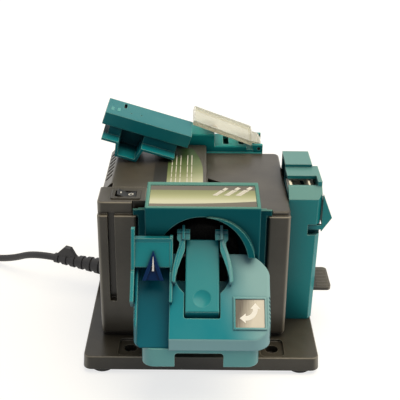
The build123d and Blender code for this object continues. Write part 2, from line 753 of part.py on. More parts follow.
# Switch body: a bezel on the ledge and a hollow case below it
with BuildPart() as switch_body:
    block(SW_X0, SW_X1, SW_Y0, SW_Y1, HUMP_Z, HUMP_Z + SWITCH_RIM)
    fillet(switch_body.edges().filter_by(Axis.Z), 1.5)
    fillet(switch_body.faces().sort_by(Axis.Z)[-1].edges(), 0.4)
    block(
        SW_X0 + SWITCH_BEZEL + FIT,
        SW_X1 - SWITCH_BEZEL - FIT,
        SW_Y0 + SWITCH_BEZEL + FIT,
        SW_Y1 - SWITCH_BEZEL - FIT,
        HUMP_Z - SWITCH_DEEP,
        HUMP_Z,
    )
    block(
        SWITCH_X - SW_WELL_X,
        SWITCH_X + SW_WELL_X,
        SWITCH_Y - SW_WELL_Y,
        SWITCH_Y + SW_WELL_Y,
        HUMP_Z - SWITCH_DEEP + SWITCH_WALL,
        HUMP_Z + SWITCH_RIM + 1,
        Mode.SUBTRACT,
    )
    bar_y(SW_Y0, SW_Y1, SWITCH_X, ROCKER_Z, ROCKER_PIN_R + RUN, Mode.SUBTRACT)
    for x in (-5, 0, 5):
        low = HUMP_Z - SWITCH_DEEP
        block(SWITCH_X + x - 0.4, SWITCH_X + x + 0.4, SWITCH_Y - 2.4, SWITCH_Y + 2.4, low - 7, low + 0.5)
switch_body.part.label = "switch_body"
export_step(switch_body.part, "parts/switch_body.step")

# Rocker: a shallow vee, shown switched off with its left side up
with BuildPart() as switch_rocker:
    lean = math.radians(ROCKER_TILT)
    along = (math.cos(lean), 0, -math.sin(lean))
    with BuildSketch(Plane(origin=(SWITCH_X, SWITCH_Y, ROCKER_Z), x_dir=along, z_dir=(0, -1, 0))):
        with BuildLine():
            Polyline(
                (-ROCKER_HALF, ROCKER_UP),
                (0, ROCKER_UP - 1.9),
                (ROCKER_HALF, ROCKER_UP),
                (ROCKER_HALF - 1.2, -2.5),
                (ROCKER_HALF - 4.5, -4.4),
                (-ROCKER_HALF + 4.5, -4.4),
                (-ROCKER_HALF + 1.2, -2.5),
                close=True,
            )
        make_face()
    extrude(amount=SW_WELL_Y - SLIDE, both=True)
    fillet(switch_rocker.edges().filter_by(Axis.Y).sort_by(Axis.Z)[-1], 0.6)
    bar_y(SW_Y0 + SWITCH_BEZEL + 0.3, SW_Y1 - SWITCH_BEZEL - 0.3, SWITCH_X, ROCKER_Z, ROCKER_PIN_R)
switch_rocker.part.label = "switch_rocker"
export_step(switch_rocker.part, "parts/switch_rocker.step")

# Motor shaft, carried in three bearings, with the chisel wheel on its right end
with BuildPart() as motor_shaft:
    bar_x(IN_LEFT + 0.5, SIDE_WHEEL_END - 0.3, SHAFT_Y, SHAFT_Z, SHAFT_R)
    chamfer(motor_shaft.edges().filter_by(GeomType.CIRCLE), 0.6)
motor_shaft.part.label = "motor_shaft"
export_step(motor_shaft.part, "parts/motor_shaft.step")

# Shaft bearings: shielded ball races
with BuildPart() as one_bearing:
    bar_x(0, BEARING_W, 0, 0, BEARING_R)
    bar_x(-1, BEARING_W + 1, 0, 0, SHAFT_R + RUN, Mode.SUBTRACT)
    for x in (0, BEARING_W - 0.5):
        with BuildSketch(Plane.YZ.offset(x)):
            Circle(BEARING_R - 1.6)
            Circle(SHAFT_R + 1.7, mode=Mode.SUBTRACT)
        extrude(amount=0.5, mode=Mode.SUBTRACT)
with BuildPart() as shaft_bearings:
    with Locations(*[(x, SHAFT_Y, SHAFT_Z) for x in (IN_LEFT, MID_BEARING, RIGHT_BEARING)]):
        add(one_bearing.part)
shaft_bearings.part.label = "shaft_bearings"
export_step(shaft_bearings.part, "parts/shaft_bearings.step")

# Bracket for the middle bearing, standing on the base
with BuildPart() as mid_bearing_bracket:
    with BuildSketch(Plane.YZ.offset(MID_BEARING)):
        with Locations((SHAFT_Y, SHAFT_Z)):
            Circle(BEARING_R + 3.5)
        with BuildLine():
            Polyline(
                (SHAFT_Y - BRACKET_HALF, BASE_TOP),
                (SHAFT_Y + BRACKET_HALF, BASE_TOP),
                (SHAFT_Y + BEARING_R + 3.0, SHAFT_Z - 4),
                (SHAFT_Y - BEARING_R - 3.0, SHAFT_Z - 4),
                close=True,
            )
        make_face()
        with Locations((SHAFT_Y, SHAFT_Z)):
            Circle(BEARING_R + FIT, mode=Mode.SUBTRACT)
        with Locations((SHAFT_Y, BASE_TOP + 32)):
            SlotCenterToCenter(26, 18, rotation=90, mode=Mode.SUBTRACT)
    extrude(amount=BEARING_W)
    block(
        MID_BEARING - 6,
        MID_BEARING + BEARING_W + 6,
        SHAFT_Y - BRACKET_HALF,
        SHAFT_Y + BRACKET_HALF,
        BASE_TOP,
        BASE_TOP + 3,
    )
mid_bearing_bracket.part.label = "mid_bearing_bracket"
export_step(mid_bearing_bracket.part, "parts/mid_bearing_bracket.step")

# Stator: a ring with two pole shoes round the armature
stator_plane = Plane(origin=(CORE_LEFT, SHAFT_Y, SHAFT_Z), x_dir=(0, 1, 0), z_dir=(1, 0, 0))
with BuildPart() as motor_stator:
    with BuildSketch(stator_plane):
        Circle(STATOR_R)
        Circle(STATOR_R - STATOR_RING, mode=Mode.SUBTRACT)
        Circle(CORE_R + AIR_GAP + SHOE_T)
        Rectangle(SHOE_CUT, 2 * (STATOR_R - STATOR_RING) - 1, mode=Mode.SUBTRACT)
        Rectangle(2 * (STATOR_R - 1), POLE_H)
        Circle(CORE_R + AIR_GAP, mode=Mode.SUBTRACT)
    extrude(amount=CORE_LONG)
motor_stator.part.label = "motor_stator"
export_step(motor_stator.part, "parts/motor_stator.step")

# Field coils: a wound ring round the neck of each pole
with BuildPart() as field_coils:
    for side in (-1, 1):
        y = SHAFT_Y + side * (CORE_R + AIR_GAP + SHOE_T + 1.5)
        core_mid = ((CORE_LEFT + CORE_RIGHT) / 2, y, SHAFT_Z)
        with BuildSketch(Plane(origin=core_mid, x_dir=(1, 0, 0), z_dir=(0, 1, 0))):
            RectangleRounded(CORE_LONG + 0.6 + 2 * COIL_THICK, POLE_H + 0.6 + 2 * COIL_THICK, COIL_THICK)
            Rectangle(CORE_LONG + 0.6, POLE_H + 0.6, mode=Mode.SUBTRACT)
        extrude(amount=1.2, both=True)
field_coils.part.label = "field_coils"
export_step(field_coils.part, "parts/field_coils.step")

# Motor cradle: two saddle ribs on a foot plate
with BuildPart() as motor_cradle:
    block(
        CORE_LEFT + 0.5,
        CORE_RIGHT - 0.5,
        SHAFT_Y - CRADLE_HALF,
        SHAFT_Y + CRADLE_HALF,
        BASE_TOP,
        BASE_TOP + 3,
    )
    for x in (CORE_LEFT + 0.5, CORE_RIGHT - 0.5 - CRADLE_W):
        block(x, x + CRADLE_W, SHAFT_Y - CRADLE_HALF, SHAFT_Y + CRADLE_HALF, BASE_TOP, SHAFT_Z - 14)
    bar_x(CORE_LEFT - 1, CORE_RIGHT + 1, SHAFT_Y, SHAFT_Z, STATOR_R + FIT, Mode.SUBTRACT)
    with BuildSketch(Plane.YZ.offset(CORE_LEFT)):
        with Locations((SHAFT_Y, BASE_TOP + 28)):
            RectangleRounded(2 * CRADLE_HALF - 14, 36, 6)
    extrude(amount=CORE_LONG, mode=Mode.SUBTRACT)
motor_cradle.part.label = "motor_cradle"
export_step(motor_cradle.part, "parts/motor_cradle.step")

# Armature core: a slotted drum pressed on the shaft
with BuildPart() as armature_core:
    with BuildSketch(stator_plane):
        Circle(CORE_R)
        Circle(SHAFT_R + FIT, mode=Mode.SUBTRACT)
        with PolarLocations(CORE_R - 2.2, CORE_SLOTS):
            Circle(1.7, mode=Mode.SUBTRACT)
        with PolarLocations(CORE_R, CORE_SLOTS):
            Rectangle(4, 1.4, mode=Mode.SUBTRACT)
    extrude(amount=CORE_LONG)
armature_core.part.label = "armature_core"
export_step(armature_core.part, "parts/armature_core.step")

# Armature windings: the wound ends on both sides of the core
with BuildPart() as armature_windings:
    for x in (CORE_LEFT - WINDING_LONG, CORE_RIGHT):
        bar_x(x + FIT, x + WINDING_LONG - FIT, SHAFT_Y, SHAFT_Z, WINDING_R)
    fillet(armature_windings.edges().filter_by(GeomType.CIRCLE), 1.5)
    bar_x(CORE_LEFT - 9, CORE_RIGHT + 9, SHAFT_Y, SHAFT_Z, SHAFT_R + FIT, Mode.SUBTRACT)
armature_windings.part.label = "armature_windings"
export_step(armature_windings.part, "parts/armature_windings.step")

# Commutator: a ring of bars
with BuildPart() as commutator:
    bar_x(COMM_LEFT, COMM_LEFT + COMM_LONG, SHAFT_Y, SHAFT_Z, COMM_R)
    bar_x(COMM_LEFT - 1, COMM_LEFT + COMM_LONG + 1, SHAFT_Y, SHAFT_Z, SHAFT_R + FIT, Mode.SUBTRACT)
    with BuildSketch(Plane(origin=(COMM_LEFT, SHAFT_Y, SHAFT_Z), x_dir=(0, 1, 0), z_dir=(1, 0, 0))):
        with PolarLocations(COMM_R, 2 * CORE_SLOTS):
            Rectangle(1.6, 0.5)
    extrude(amount=COMM_LONG, mode=Mode.SUBTRACT)
commutator.part.label = "commutator"
export_step(commutator.part, "parts/commutator.step")

# Brush holders: a square tube on each side of the commutator, fixed to the left wall
BRUSH_X = COMM_LEFT + COMM_LONG / 2
BRUSH_HALF = BRUSH_W / 2
HOLD_HALF = BRUSH_HALF + 0.1 + HOLDER_WALL
HOLD_IN = COMM_R + 1.2
HOLD_OUT = COMM_R + BRUSH_LONG + 6.0
with BuildPart() as brush_holders:
    for side in (-1, 1):
        near = SHAFT_Y + side * HOLD_IN
        far = SHAFT_Y + side * HOLD_OUT
        y0 = min(near, far)
        y1 = max(near, far)
        block(BRUSH_X - HOLD_HALF, BRUSH_X + HOLD_HALF, y0, y1, SHAFT_Z - HOLD_HALF, SHAFT_Z + HOLD_HALF)
        arm = SHAFT_Y + side * (HOLD_OUT - 4.5)
        block(IN_LEFT + FIT, BRUSH_X, arm - 4, arm + 4, SHAFT_Z - HOLD_HALF, SHAFT_Z + HOLD_HALF)
        block(
            BRUSH_X - BRUSH_HALF - 0.1,
            BRUSH_X + BRUSH_HALF + 0.1,
            y0 - 1 if side > 0 else y0 + 2,
            y1 - 2 if side > 0 else y1 + 1,
            SHAFT_Z - BRUSH_HALF - 0.1,
            SHAFT_Z + BRUSH_HALF + 0.1,
            Mode.SUBTRACT,
        )
brush_holders.part.label = "brush_holders"
export_step(brush_holders.part, "parts/brush_holders.step")

# Carbon brushes: square sticks with a hollow end on the commutator
with BuildPart() as carbon_brushes:
    for side in (-1, 1):
        near = SHAFT_Y + side * (COMM_R - 1)
        far = SHAFT_Y + side * (COMM_R + BRUSH_LONG)
        block(
            BRUSH_X - BRUSH_HALF,
            BRUSH_X + BRUSH_HALF,
            min(near, far),
            max(near, far),
            SHAFT_Z - BRUSH_HALF,
            SHAFT_Z + BRUSH_HALF,
        )
    bar_x(COMM_LEFT - 1, COMM_LEFT + COMM_LONG + 1, SHAFT_Y, SHAFT_Z, COMM_R + 0.3, Mode.SUBTRACT)
carbon_brushes.part.label = "carbon_brushes"
export_step(carbon_brushes.part, "parts/carbon_brushes.step")

# Cooling fan: a disc with straight blades
with BuildPart() as cooling_fan:
    bar_x(FAN_LEFT, FAN_LEFT + 1.2, SHAFT_Y, SHAFT_Z, FAN_R)
    bar_x(FAN_LEFT, FAN_LEFT + FAN_W, SHAFT_Y, SHAFT_Z, FAN_HUB_R)
    with BuildSketch(Plane(origin=(FAN_LEFT, SHAFT_Y, SHAFT_Z), x_dir=(0, 1, 0), z_dir=(1, 0, 0))):
        with PolarLocations((FAN_R + FAN_HUB_R) / 2, FAN_BLADES):
            Rectangle(FAN_R - FAN_HUB_R - 1, 1.4)
    extrude(amount=FAN_W)
    bar_x(FAN_LEFT - 1, FAN_LEFT + FAN_W + 1, SHAFT_Y, SHAFT_Z, SHAFT_R + FIT, Mode.SUBTRACT)
cooling_fan.part.label = "cooling_fan"
export_step(cooling_fan.part, "parts/cooling_fan.step")


def bevel_gear(turn):
    """A 45 degree bevel gear with its cone tip at the origin and its axis along +Z."""
    half = math.sqrt(0.5)
    small = (CONE - GEAR_FACE) / CONE
    module = 2 * GEAR_R / GEAR_TEETH
    tall = GEAR_TALL * module
    deep = GEAR_DEEP * module
    thick = TOOTH_SHARE * math.pi * GEAR_R / GEAR_TEETH
    lean = math.tan(math.radians(TOOTH_LEAN))
    with BuildPart() as tooth:
        for share in (1.0, small):
            spot = CONE * share * half
            top = (thick - tall * lean) * share
            foot = (thick + (deep + 0.4) * lean) * share
            with BuildSketch(Plane(origin=(spot, 0, spot), x_dir=(0, 1, 0), z_dir=(-half, 0, -half))):
                with BuildLine():
                    Polyline(
                        (-top, tall * share),
                        (top, tall * share),
                        (foot, -(deep + 0.4) * share),
                        (-foot, -(deep + 0.4) * share),
                        close=True,
                    )
                make_face()
        loft()
    with BuildPart() as gear:
        with BuildSketch(Plane.XZ):
            with BuildLine():
                Polyline(
                    (SHAFT_R + FIT, (GEAR_R + deep * half) * small),
                    ((GEAR_R - deep * half) * small, (GEAR_R + deep * half) * small),
                    (GEAR_R - deep * half, GEAR_R + deep * half),
                    (GEAR_HUB_R, GEAR_R + deep * half),
                    (GEAR_HUB_R, GEAR_BACK + GEAR_HUB),
                    (SHAFT_R + FIT, GEAR_BACK + GEAR_HUB),
                    close=True,
                )
            make_face()
        revolve(axis=Axis.Z)
        with PolarLocations(0, GEAR_TEETH, start_angle=turn):
            add(tooth.part)
    return gear.part


# Bevel gears: one on the motor shaft drives the front and the rear spindle
HALF_TOOTH = 180 / GEAR_TEETH
with BuildPart() as drive_gear:
    add(bevel_gear(0).moved(Plane(origin=APEX, x_dir=(0, 1, 0), z_dir=(-1, 0, 0)).location))
drive_gear.part.label = "drive_gear"
export_step(drive_gear.part, "parts/drive_gear.step")
with BuildPart() as front_gear:
    add(bevel_gear(HALF_TOOTH).moved(Plane(origin=APEX, x_dir=(-1, 0, 0), z_dir=(0, -1, 0)).location))
front_gear.part.label = "front_gear"
export_step(front_gear.part, "parts/front_gear.step")
with BuildPart() as rear_gear:
    add(bevel_gear(HALF_TOOTH).moved(Plane(origin=APEX, x_dir=(-1, 0, 0), z_dir=(0, 1, 0)).location))
rear_gear.part.label = "rear_gear"
export_step(rear_gear.part, "parts/rear_gear.step")

# Bronze bushes for the two spindles
with BuildPart() as spindle_bushes:
    for y in (CHANNEL_FLOOR, BODY_BACK - BUSH_LONG):
        bar_y(y, y + BUSH_LONG, 0, SHAFT_Z, BUSH_R)
        bar_y(y - 1, y + BUSH_LONG + 1, 0, SHAFT_Z, SHAFT_R + RUN, Mode.SUBTRACT)
spindle_bushes.part.label = "spindle_bushes"
export_step(spindle_bushes.part, "parts/spindle_bushes.step")

# Front spindle, with a collar behind its bush
DRILL_FACE = DRILL_WHEEL_Y - WHEEL_T
with BuildPart() as front_spindle:
    bar_y(DRILL_FACE - 0.5, SHAFT_Y - SPINDLE_IN, 0, SHAFT_Z, SHAFT_R)
    chamfer(front_spindle.edges().filter_by(GeomType.CIRCLE), 0.5)
    collar_y = CHANNEL_FLOOR + BUSH_LONG + SLIDE
    bar_y(collar_y, collar_y + 2.5, 0, SHAFT_Z, BUSH_R - 0.5)
front_spindle.part.label = "front_spindle"
export_step(front_spindle.part, "parts/front_spindle.step")

# Rear spindle, with a collar before its bush
KNIFE_FACE = KNIFE_WHEEL_Y + WHEEL_T
with BuildPart() as rear_spindle:
    bar_y(SHAFT_Y + SPINDLE_IN, KNIFE_FACE + 0.5, 0, SHAFT_Z, SHAFT_R)
    chamfer(rear_spindle.edges().filter_by(GeomType.CIRCLE), 0.5)
    bar_y(BODY_BACK - BUSH_LONG - SLIDE - 2.5, BODY_BACK - BUSH_LONG - SLIDE, 0, SHAFT_Z, BUSH_R - 0.5)
rear_spindle.part.label = "rear_spindle"
export_step(rear_spindle.part, "parts/rear_spindle.step")

# Drill wheel: a cup wheel that grinds on its front ring
with BuildPart() as drill_wheel:
    bar_y(DRILL_FACE, DRILL_WHEEL_Y, 0, SHAFT_Z, WHEEL_R)
    chamfer(drill_wheel.edges().filter_by(GeomType.CIRCLE), 0.8)
    bar_y(DRILL_FACE - 1, DRILL_FACE + WHEEL_RECESS, 0, SHAFT_Z, WHEEL_RECESS_R, Mode.SUBTRACT)
    bar_y(DRILL_FACE - 1, DRILL_WHEEL_Y + 1, 0, SHAFT_Z, SHAFT_R + FIT, Mode.SUBTRACT)
drill_wheel.part.label = "drill_wheel"
export_step(drill_wheel.part, "parts/drill_wheel.step")

# Knife wheel, the same wheel turned to the back
with BuildPart() as knife_wheel:
    bar_y(KNIFE_WHEEL_Y, KNIFE_FACE, 0, SHAFT_Z, WHEEL_R)
    chamfer(knife_wheel.edges().filter_by(GeomType.CIRCLE), 0.8)
    bar_y(KNIFE_FACE - WHEEL_RECESS, KNIFE_FACE + 1, 0, SHAFT_Z, WHEEL_RECESS_R, Mode.SUBTRACT)
    bar_y(KNIFE_WHEEL_Y - 1, KNIFE_FACE + 1, 0, SHAFT_Z, SHAFT_R + FIT, Mode.SUBTRACT)
knife_wheel.part.label = "knife_wheel"
export_step(knife_wheel.part, "parts/knife_wheel.step")

# Chisel wheel: a plain wheel that grinds on its rim
SIDE_FLOOR = SIDE_WHEEL_END - WHEEL_RECESS
with BuildPart() as chisel_wheel:
    bar_x(SIDE_WHEEL_X, SIDE_WHEEL_END, SHAFT_Y, SHAFT_Z, SIDE_WHEEL_R)
    chamfer(chisel_wheel.edges().filter_by(GeomType.CIRCLE), 0.8)
    bar_x(SIDE_FLOOR, SIDE_WHEEL_END + 1, SHAFT_Y, SHAFT_Z, WHEEL_RECESS_R, Mode.SUBTRACT)
    bar_x(SIDE_WHEEL_X - 1, SIDE_WHEEL_END + 1, SHAFT_Y, SHAFT_Z, SHAFT_R + FIT, Mode.SUBTRACT)
chisel_wheel.part.label = "chisel_wheel"
export_step(chisel_wheel.part, "parts/chisel_wheel.step")

# Flanges that grip each wheel, one on its back and one in its recess
with BuildPart() as drill_flanges:
    bar_y(DRILL_WHEEL_Y + FIT, DRILL_WHEEL_Y + FLANGE_T, 0, SHAFT_Z, FLANGE_R)
    bar_y(DRILL_FACE + WHEEL_RECESS - FLANGE_T, DRILL_FACE + WHEEL_RECESS - FIT, 0, SHAFT_Z, FLANGE_R)
    bar_y(DRILL_FACE - 1, DRILL_WHEEL_Y + 9, 0, SHAFT_Z, SHAFT_R + FIT, Mode.SUBTRACT)
drill_flanges.part.label = "drill_flanges"
export_step(drill_flanges.part, "parts/drill_flanges.step")
with BuildPart() as knife_flanges:
    bar_y(KNIFE_WHEEL_Y - FLANGE_T, KNIFE_WHEEL_Y - FIT, 0, SHAFT_Z, FLANGE_R)
    bar_y(KNIFE_FACE - WHEEL_RECESS + FIT, KNIFE_FACE - WHEEL_RECESS + FLANGE_T, 0, SHAFT_Z, FLANGE_R)
    bar_y(KNIFE_WHEEL_Y - 9, KNIFE_FACE + 1, 0, SHAFT_Z, SHAFT_R + FIT, Mode.SUBTRACT)
knife_flanges.part.label = "knife_flanges"
export_step(knife_flanges.part, "parts/knife_flanges.step")
with BuildPart() as chisel_flanges:
    bar_x(SIDE_WHEEL_X - FLANGE_T, SIDE_WHEEL_X - FIT, SHAFT_Y, SHAFT_Z, FLANGE_R)
    bar_x(SIDE_FLOOR + FIT, SIDE_FLOOR + FLANGE_T, SHAFT_Y, SHAFT_Z, FLANGE_R)
    bar_x(SIDE_WHEEL_X - 9, SIDE_WHEEL_END + 1, SHAFT_Y, SHAFT_Z, SHAFT_R + FIT, Mode.SUBTRACT)
chisel_flanges.part.label = "chisel_flanges"
export_step(chisel_flanges.part, "parts/chisel_flanges.step")

# Hexagon nuts on the three shaft ends, inside the wheel recesses
with BuildPart() as drill_nut:
    with BuildSketch(Plane(origin=(0, DRILL_FACE, SHAFT_Z), x_dir=(1, 0, 0), z_dir=(0, 1, 0))):
        RegularPolygon(NUT_R, 6)
        Circle(SHAFT_R + FIT, mode=Mode.SUBTRACT)
    extrude(amount=WHEEL_RECESS - FLANGE_T - FIT)
drill_nut.part.label = "drill_nut"
export_step(drill_nut.part, "parts/drill_nut.step")
with BuildPart() as knife_nut:
    with BuildSketch(Plane(origin=(0, KNIFE_FACE, SHAFT_Z), x_dir=(1, 0, 0), z_dir=(0, -1, 0))):
        RegularPolygon(NUT_R, 6)
        Circle(SHAFT_R + FIT, mode=Mode.SUBTRACT)
    extrude(amount=WHEEL_RECESS - FLANGE_T - FIT)
knife_nut.part.label = "knife_nut"
export_step(knife_nut.part, "parts/knife_nut.step")
with BuildPart() as chisel_nut:
    nut_face = (SIDE_WHEEL_END - 0.3, SHAFT_Y, SHAFT_Z)
    with BuildSketch(Plane(origin=nut_face, x_dir=(0, 1, 0), z_dir=(-1, 0, 0))):
        RegularPolygon(NUT_R, 6)
        Circle(SHAFT_R + FIT, mode=Mode.SUBTRACT)
    extrude(amount=WHEEL_RECESS - FLANGE_T - FIT - 0.3)
chisel_nut.part.label = "chisel_nut"
export_step(chisel_nut.part, "parts/chisel_nut.step")

# Box of the drill station, before its openings
with BuildPart() as frame_box:
    with BuildSketch(Plane.YZ.offset(-FRAME_HALF)):
        with BuildLine():
            Polyline(
                (TONGUE_FRONT, FRAME_FOOT),
                (FRAME_FRONT, FRAME_FOOT),
                (FRAME_FRONT, ROOF_FRONT_Z),
                (FRAME_PLATE, ROOF_BACK_Z),
                (TONGUE_FRONT, ROOF_BACK_Z),
                close=True,
            )
        make_face()
    extrude(amount=2 * FRAME_HALF)
    fillet(frame_box.edges().filter_by(Axis.Z).group_by(Axis.Y)[0], 1.5)
    fillet(frame_box.faces().sort_by(Axis.Y)[0].edges().sort_by(Axis.Z)[-1], 1.0)

# Cam ramp beside the round opening, rising from the top to the right
with BuildPart() as cam_ramp:
    with BuildSketch(Plane.XZ.offset(-FRAME_FRONT - 0.5)):
        with Locations((CAM_W, OPEN_Z)):
            Circle(OPEN_R)
        with Locations((0, OPEN_Z)):
            Circle(OPEN_R, mode=Mode.SUBTRACT)
            with Locations((-OPEN_R, 0)):
                Rectangle(2 * OPEN_R, 4 * OPEN_R, mode=Mode.SUBTRACT)
            with Locations((0, TURRET_TOP + 1.0 - OPEN_Z - 2 * OPEN_R)):
                Rectangle(4 * OPEN_R, 4 * OPEN_R, mode=Mode.SUBTRACT)
    extrude(amount=CAM_RISE + 0.5)
    with BuildSketch(Plane.YZ):
        with BuildLine():
            Polyline(
                (FRAME_FRONT, OPEN_Z + OPEN_R + CAM_W),
                (FRAME_FRONT - CAM_RISE, TURRET_TOP + 1.0),
                (FRAME_FRONT - 2 * CAM_RISE, TURRET_TOP + 1.0),
                (FRAME_FRONT - 2 * CAM_RISE, OPEN_Z + 2 * OPEN_R),
                (FRAME_FRONT, OPEN_Z + 2 * OPEN_R),
                close=True,
            )
        make_face()
    extrude(amount=2 * OPEN_R, mode=Mode.SUBTRACT)

# Drill frame: slides down into the channel; its box carries the label and the round opening
with BuildPart() as drill_frame:
    add(frame_box.part)
    block(
        -FRAME_HALF + FRAME_WALL,
        FRAME_HALF - FRAME_WALL,
        FRAME_FRONT + FRAME_WALL,
        FRAME_PLATE,
        FRAME_FOOT - 1,
        ROOF_FRONT_Z - FRAME_WALL,
        Mode.SUBTRACT,
    )
    tongue = CHANNEL_HALF + GROOVE_DEPTH - 0.4
    block(-tongue, tongue, TONGUE_FRONT, FRAME_BACK, BASE_TOP + 1.7, SEAM_Z)
    block(-FLANGE_HALF, FLANGE_HALF, FRAME_PLATE, TONGUE_FRONT + 0.5, FLANGE_FOOT, TAB_TOP)
    block(
        -FLANGE_HALF - TAB_OUT,
        FLANGE_HALF + TAB_OUT,
        FRAME_PLATE,
        BODY_FRONT - SLIDE,
        PANEL_TOP + SEAT,
        TAB_TOP,
    )
    block(-PASS_HALF, PASS_HALF, FRAME_PLATE - 1, FRAME_BACK + 1, BASE_TOP, SHAFT_Z, Mode.SUBTRACT)
    bar_y(FRAME_PLATE - 1, FRAME_BACK + 1, 0, SHAFT_Z, PASS_HALF, Mode.SUBTRACT)
    add(cam_ramp.part)
    bar_y(FRAME_FRONT - CAM_RISE - 1, FRAME_FRONT + FRAME_WALL + 1, 0, OPEN_Z, OPEN_R, Mode.SUBTRACT)
    fall = (ROOF_BACK_Z - ROOF_FRONT_Z) / (FRAME_PLATE - FRAME_FRONT)
    y0 = FRAME_FRONT + LABEL_EDGE
    y1 = FRAME_PLATE - LABEL_EDGE + 1.0
    with BuildSketch(Plane.YZ.offset(-FRAME_HALF + LABEL_EDGE)):
        with BuildLine():
            Polyline(
                (y0, ROOF_FRONT_Z + (y0 - FRAME_FRONT) * fall - LABEL_DEEP),
                (y1, ROOF_FRONT_Z + (y1 - FRAME_FRONT) * fall - LABEL_DEEP),
                (y1, ROOF_BACK_Z + 2),
                (y0, ROOF_BACK_Z + 2),
                close=True,
            )
        make_face()
    extrude(amount=2 * (FRAME_HALF - LABEL_EDGE), mode=Mode.SUBTRACT)
drill_frame.part.label = "drill_frame"
export_step(drill_frame.part, "parts/drill_frame.step")

# Turret: swings in the round opening; its sloping face carries the well, the trough and the fins
slope_plane = Plane(origin=(0, WELL_Y, WELL_Z), x_dir=(1, 0, 0), z_dir=(0, -SLOPE_S, SLOPE_C))


FIN_END = WELL_R + 0.9 - FIN_T / 2
FIN_LINE = [
    (FIN_X, 24),
    (FIN_X + 0.20 * (FIN_END - FIN_X), 19),
    (FIN_X + 0.52 * (FIN_END - FIN_X), 13),
    (FIN_X + 0.78 * (FIN_END - FIN_X), 6),
    (FIN_X + 0.93 * (FIN_END - FIN_X), 0),
    (FIN_END, -FIN_FOOT),
]


def on_slope(up, out):
    """Y and Z of a point given along and off the sloping face, from the centre of the well."""
    return (WELL_Y + up * SLOPE_C - out * SLOPE_S, WELL_Z + up * SLOPE_S + out * SLOPE_C)


with BuildPart() as turret_block:
    block(-TURRET_HALF, TURRET_HALF, TURRET_FRONT, TURRET_BACK, TURRET_FOOT, TURRET_TOP)
    fillet(turret_block.edges().filter_by(Axis.Z).group_by(Axis.Y)[0], TURRET_CORNER)
    with BuildSketch(Plane.YZ.offset(-2 * TURRET_HALF)):
        with BuildLine():
            Polyline(on_slope(-90, 0), on_slope(60, 0), on_slope(60, 120), on_slope(-90, 120), close=True)
        make_face()
    extrude(amount=4 * TURRET_HALF, mode=Mode.SUBTRACT)
    rims = turret_block.faces().filter_by(slope_plane).sort_by(Axis.Z)[-1].edges()
    fillet(rims.filter_by_position(Axis.Y, TURRET_FRONT - 1, TURRET_BACK - 9), TURRET_EDGE)
    cut_x = TURRET_HALF - TURRET_CUT_W
    cut_y = TURRET_BACK - TURRET_CUT_D
    with BuildSketch(Plane.XY.offset(TURRET_FOOT - 1)):
        with BuildLine():
            ThreePointArc(
                (cut_x, TURRET_BACK),
                (cut_x + 0.6 * TURRET_CUT_W, TURRET_BACK - 0.26 * TURRET_CUT_D),
                (TURRET_HALF, cut_y),
            )
            Polyline(
                (TURRET_HALF, cut_y),
                (TURRET_HALF + 5, cut_y),
                (TURRET_HALF + 5, TURRET_BACK + 5),
                (cut_x, TURRET_BACK + 5),
                (cut_x, TURRET_BACK),
            )
        make_face()
    extrude(amount=2 * TURRET_TOP, mode=Mode.SUBTRACT)

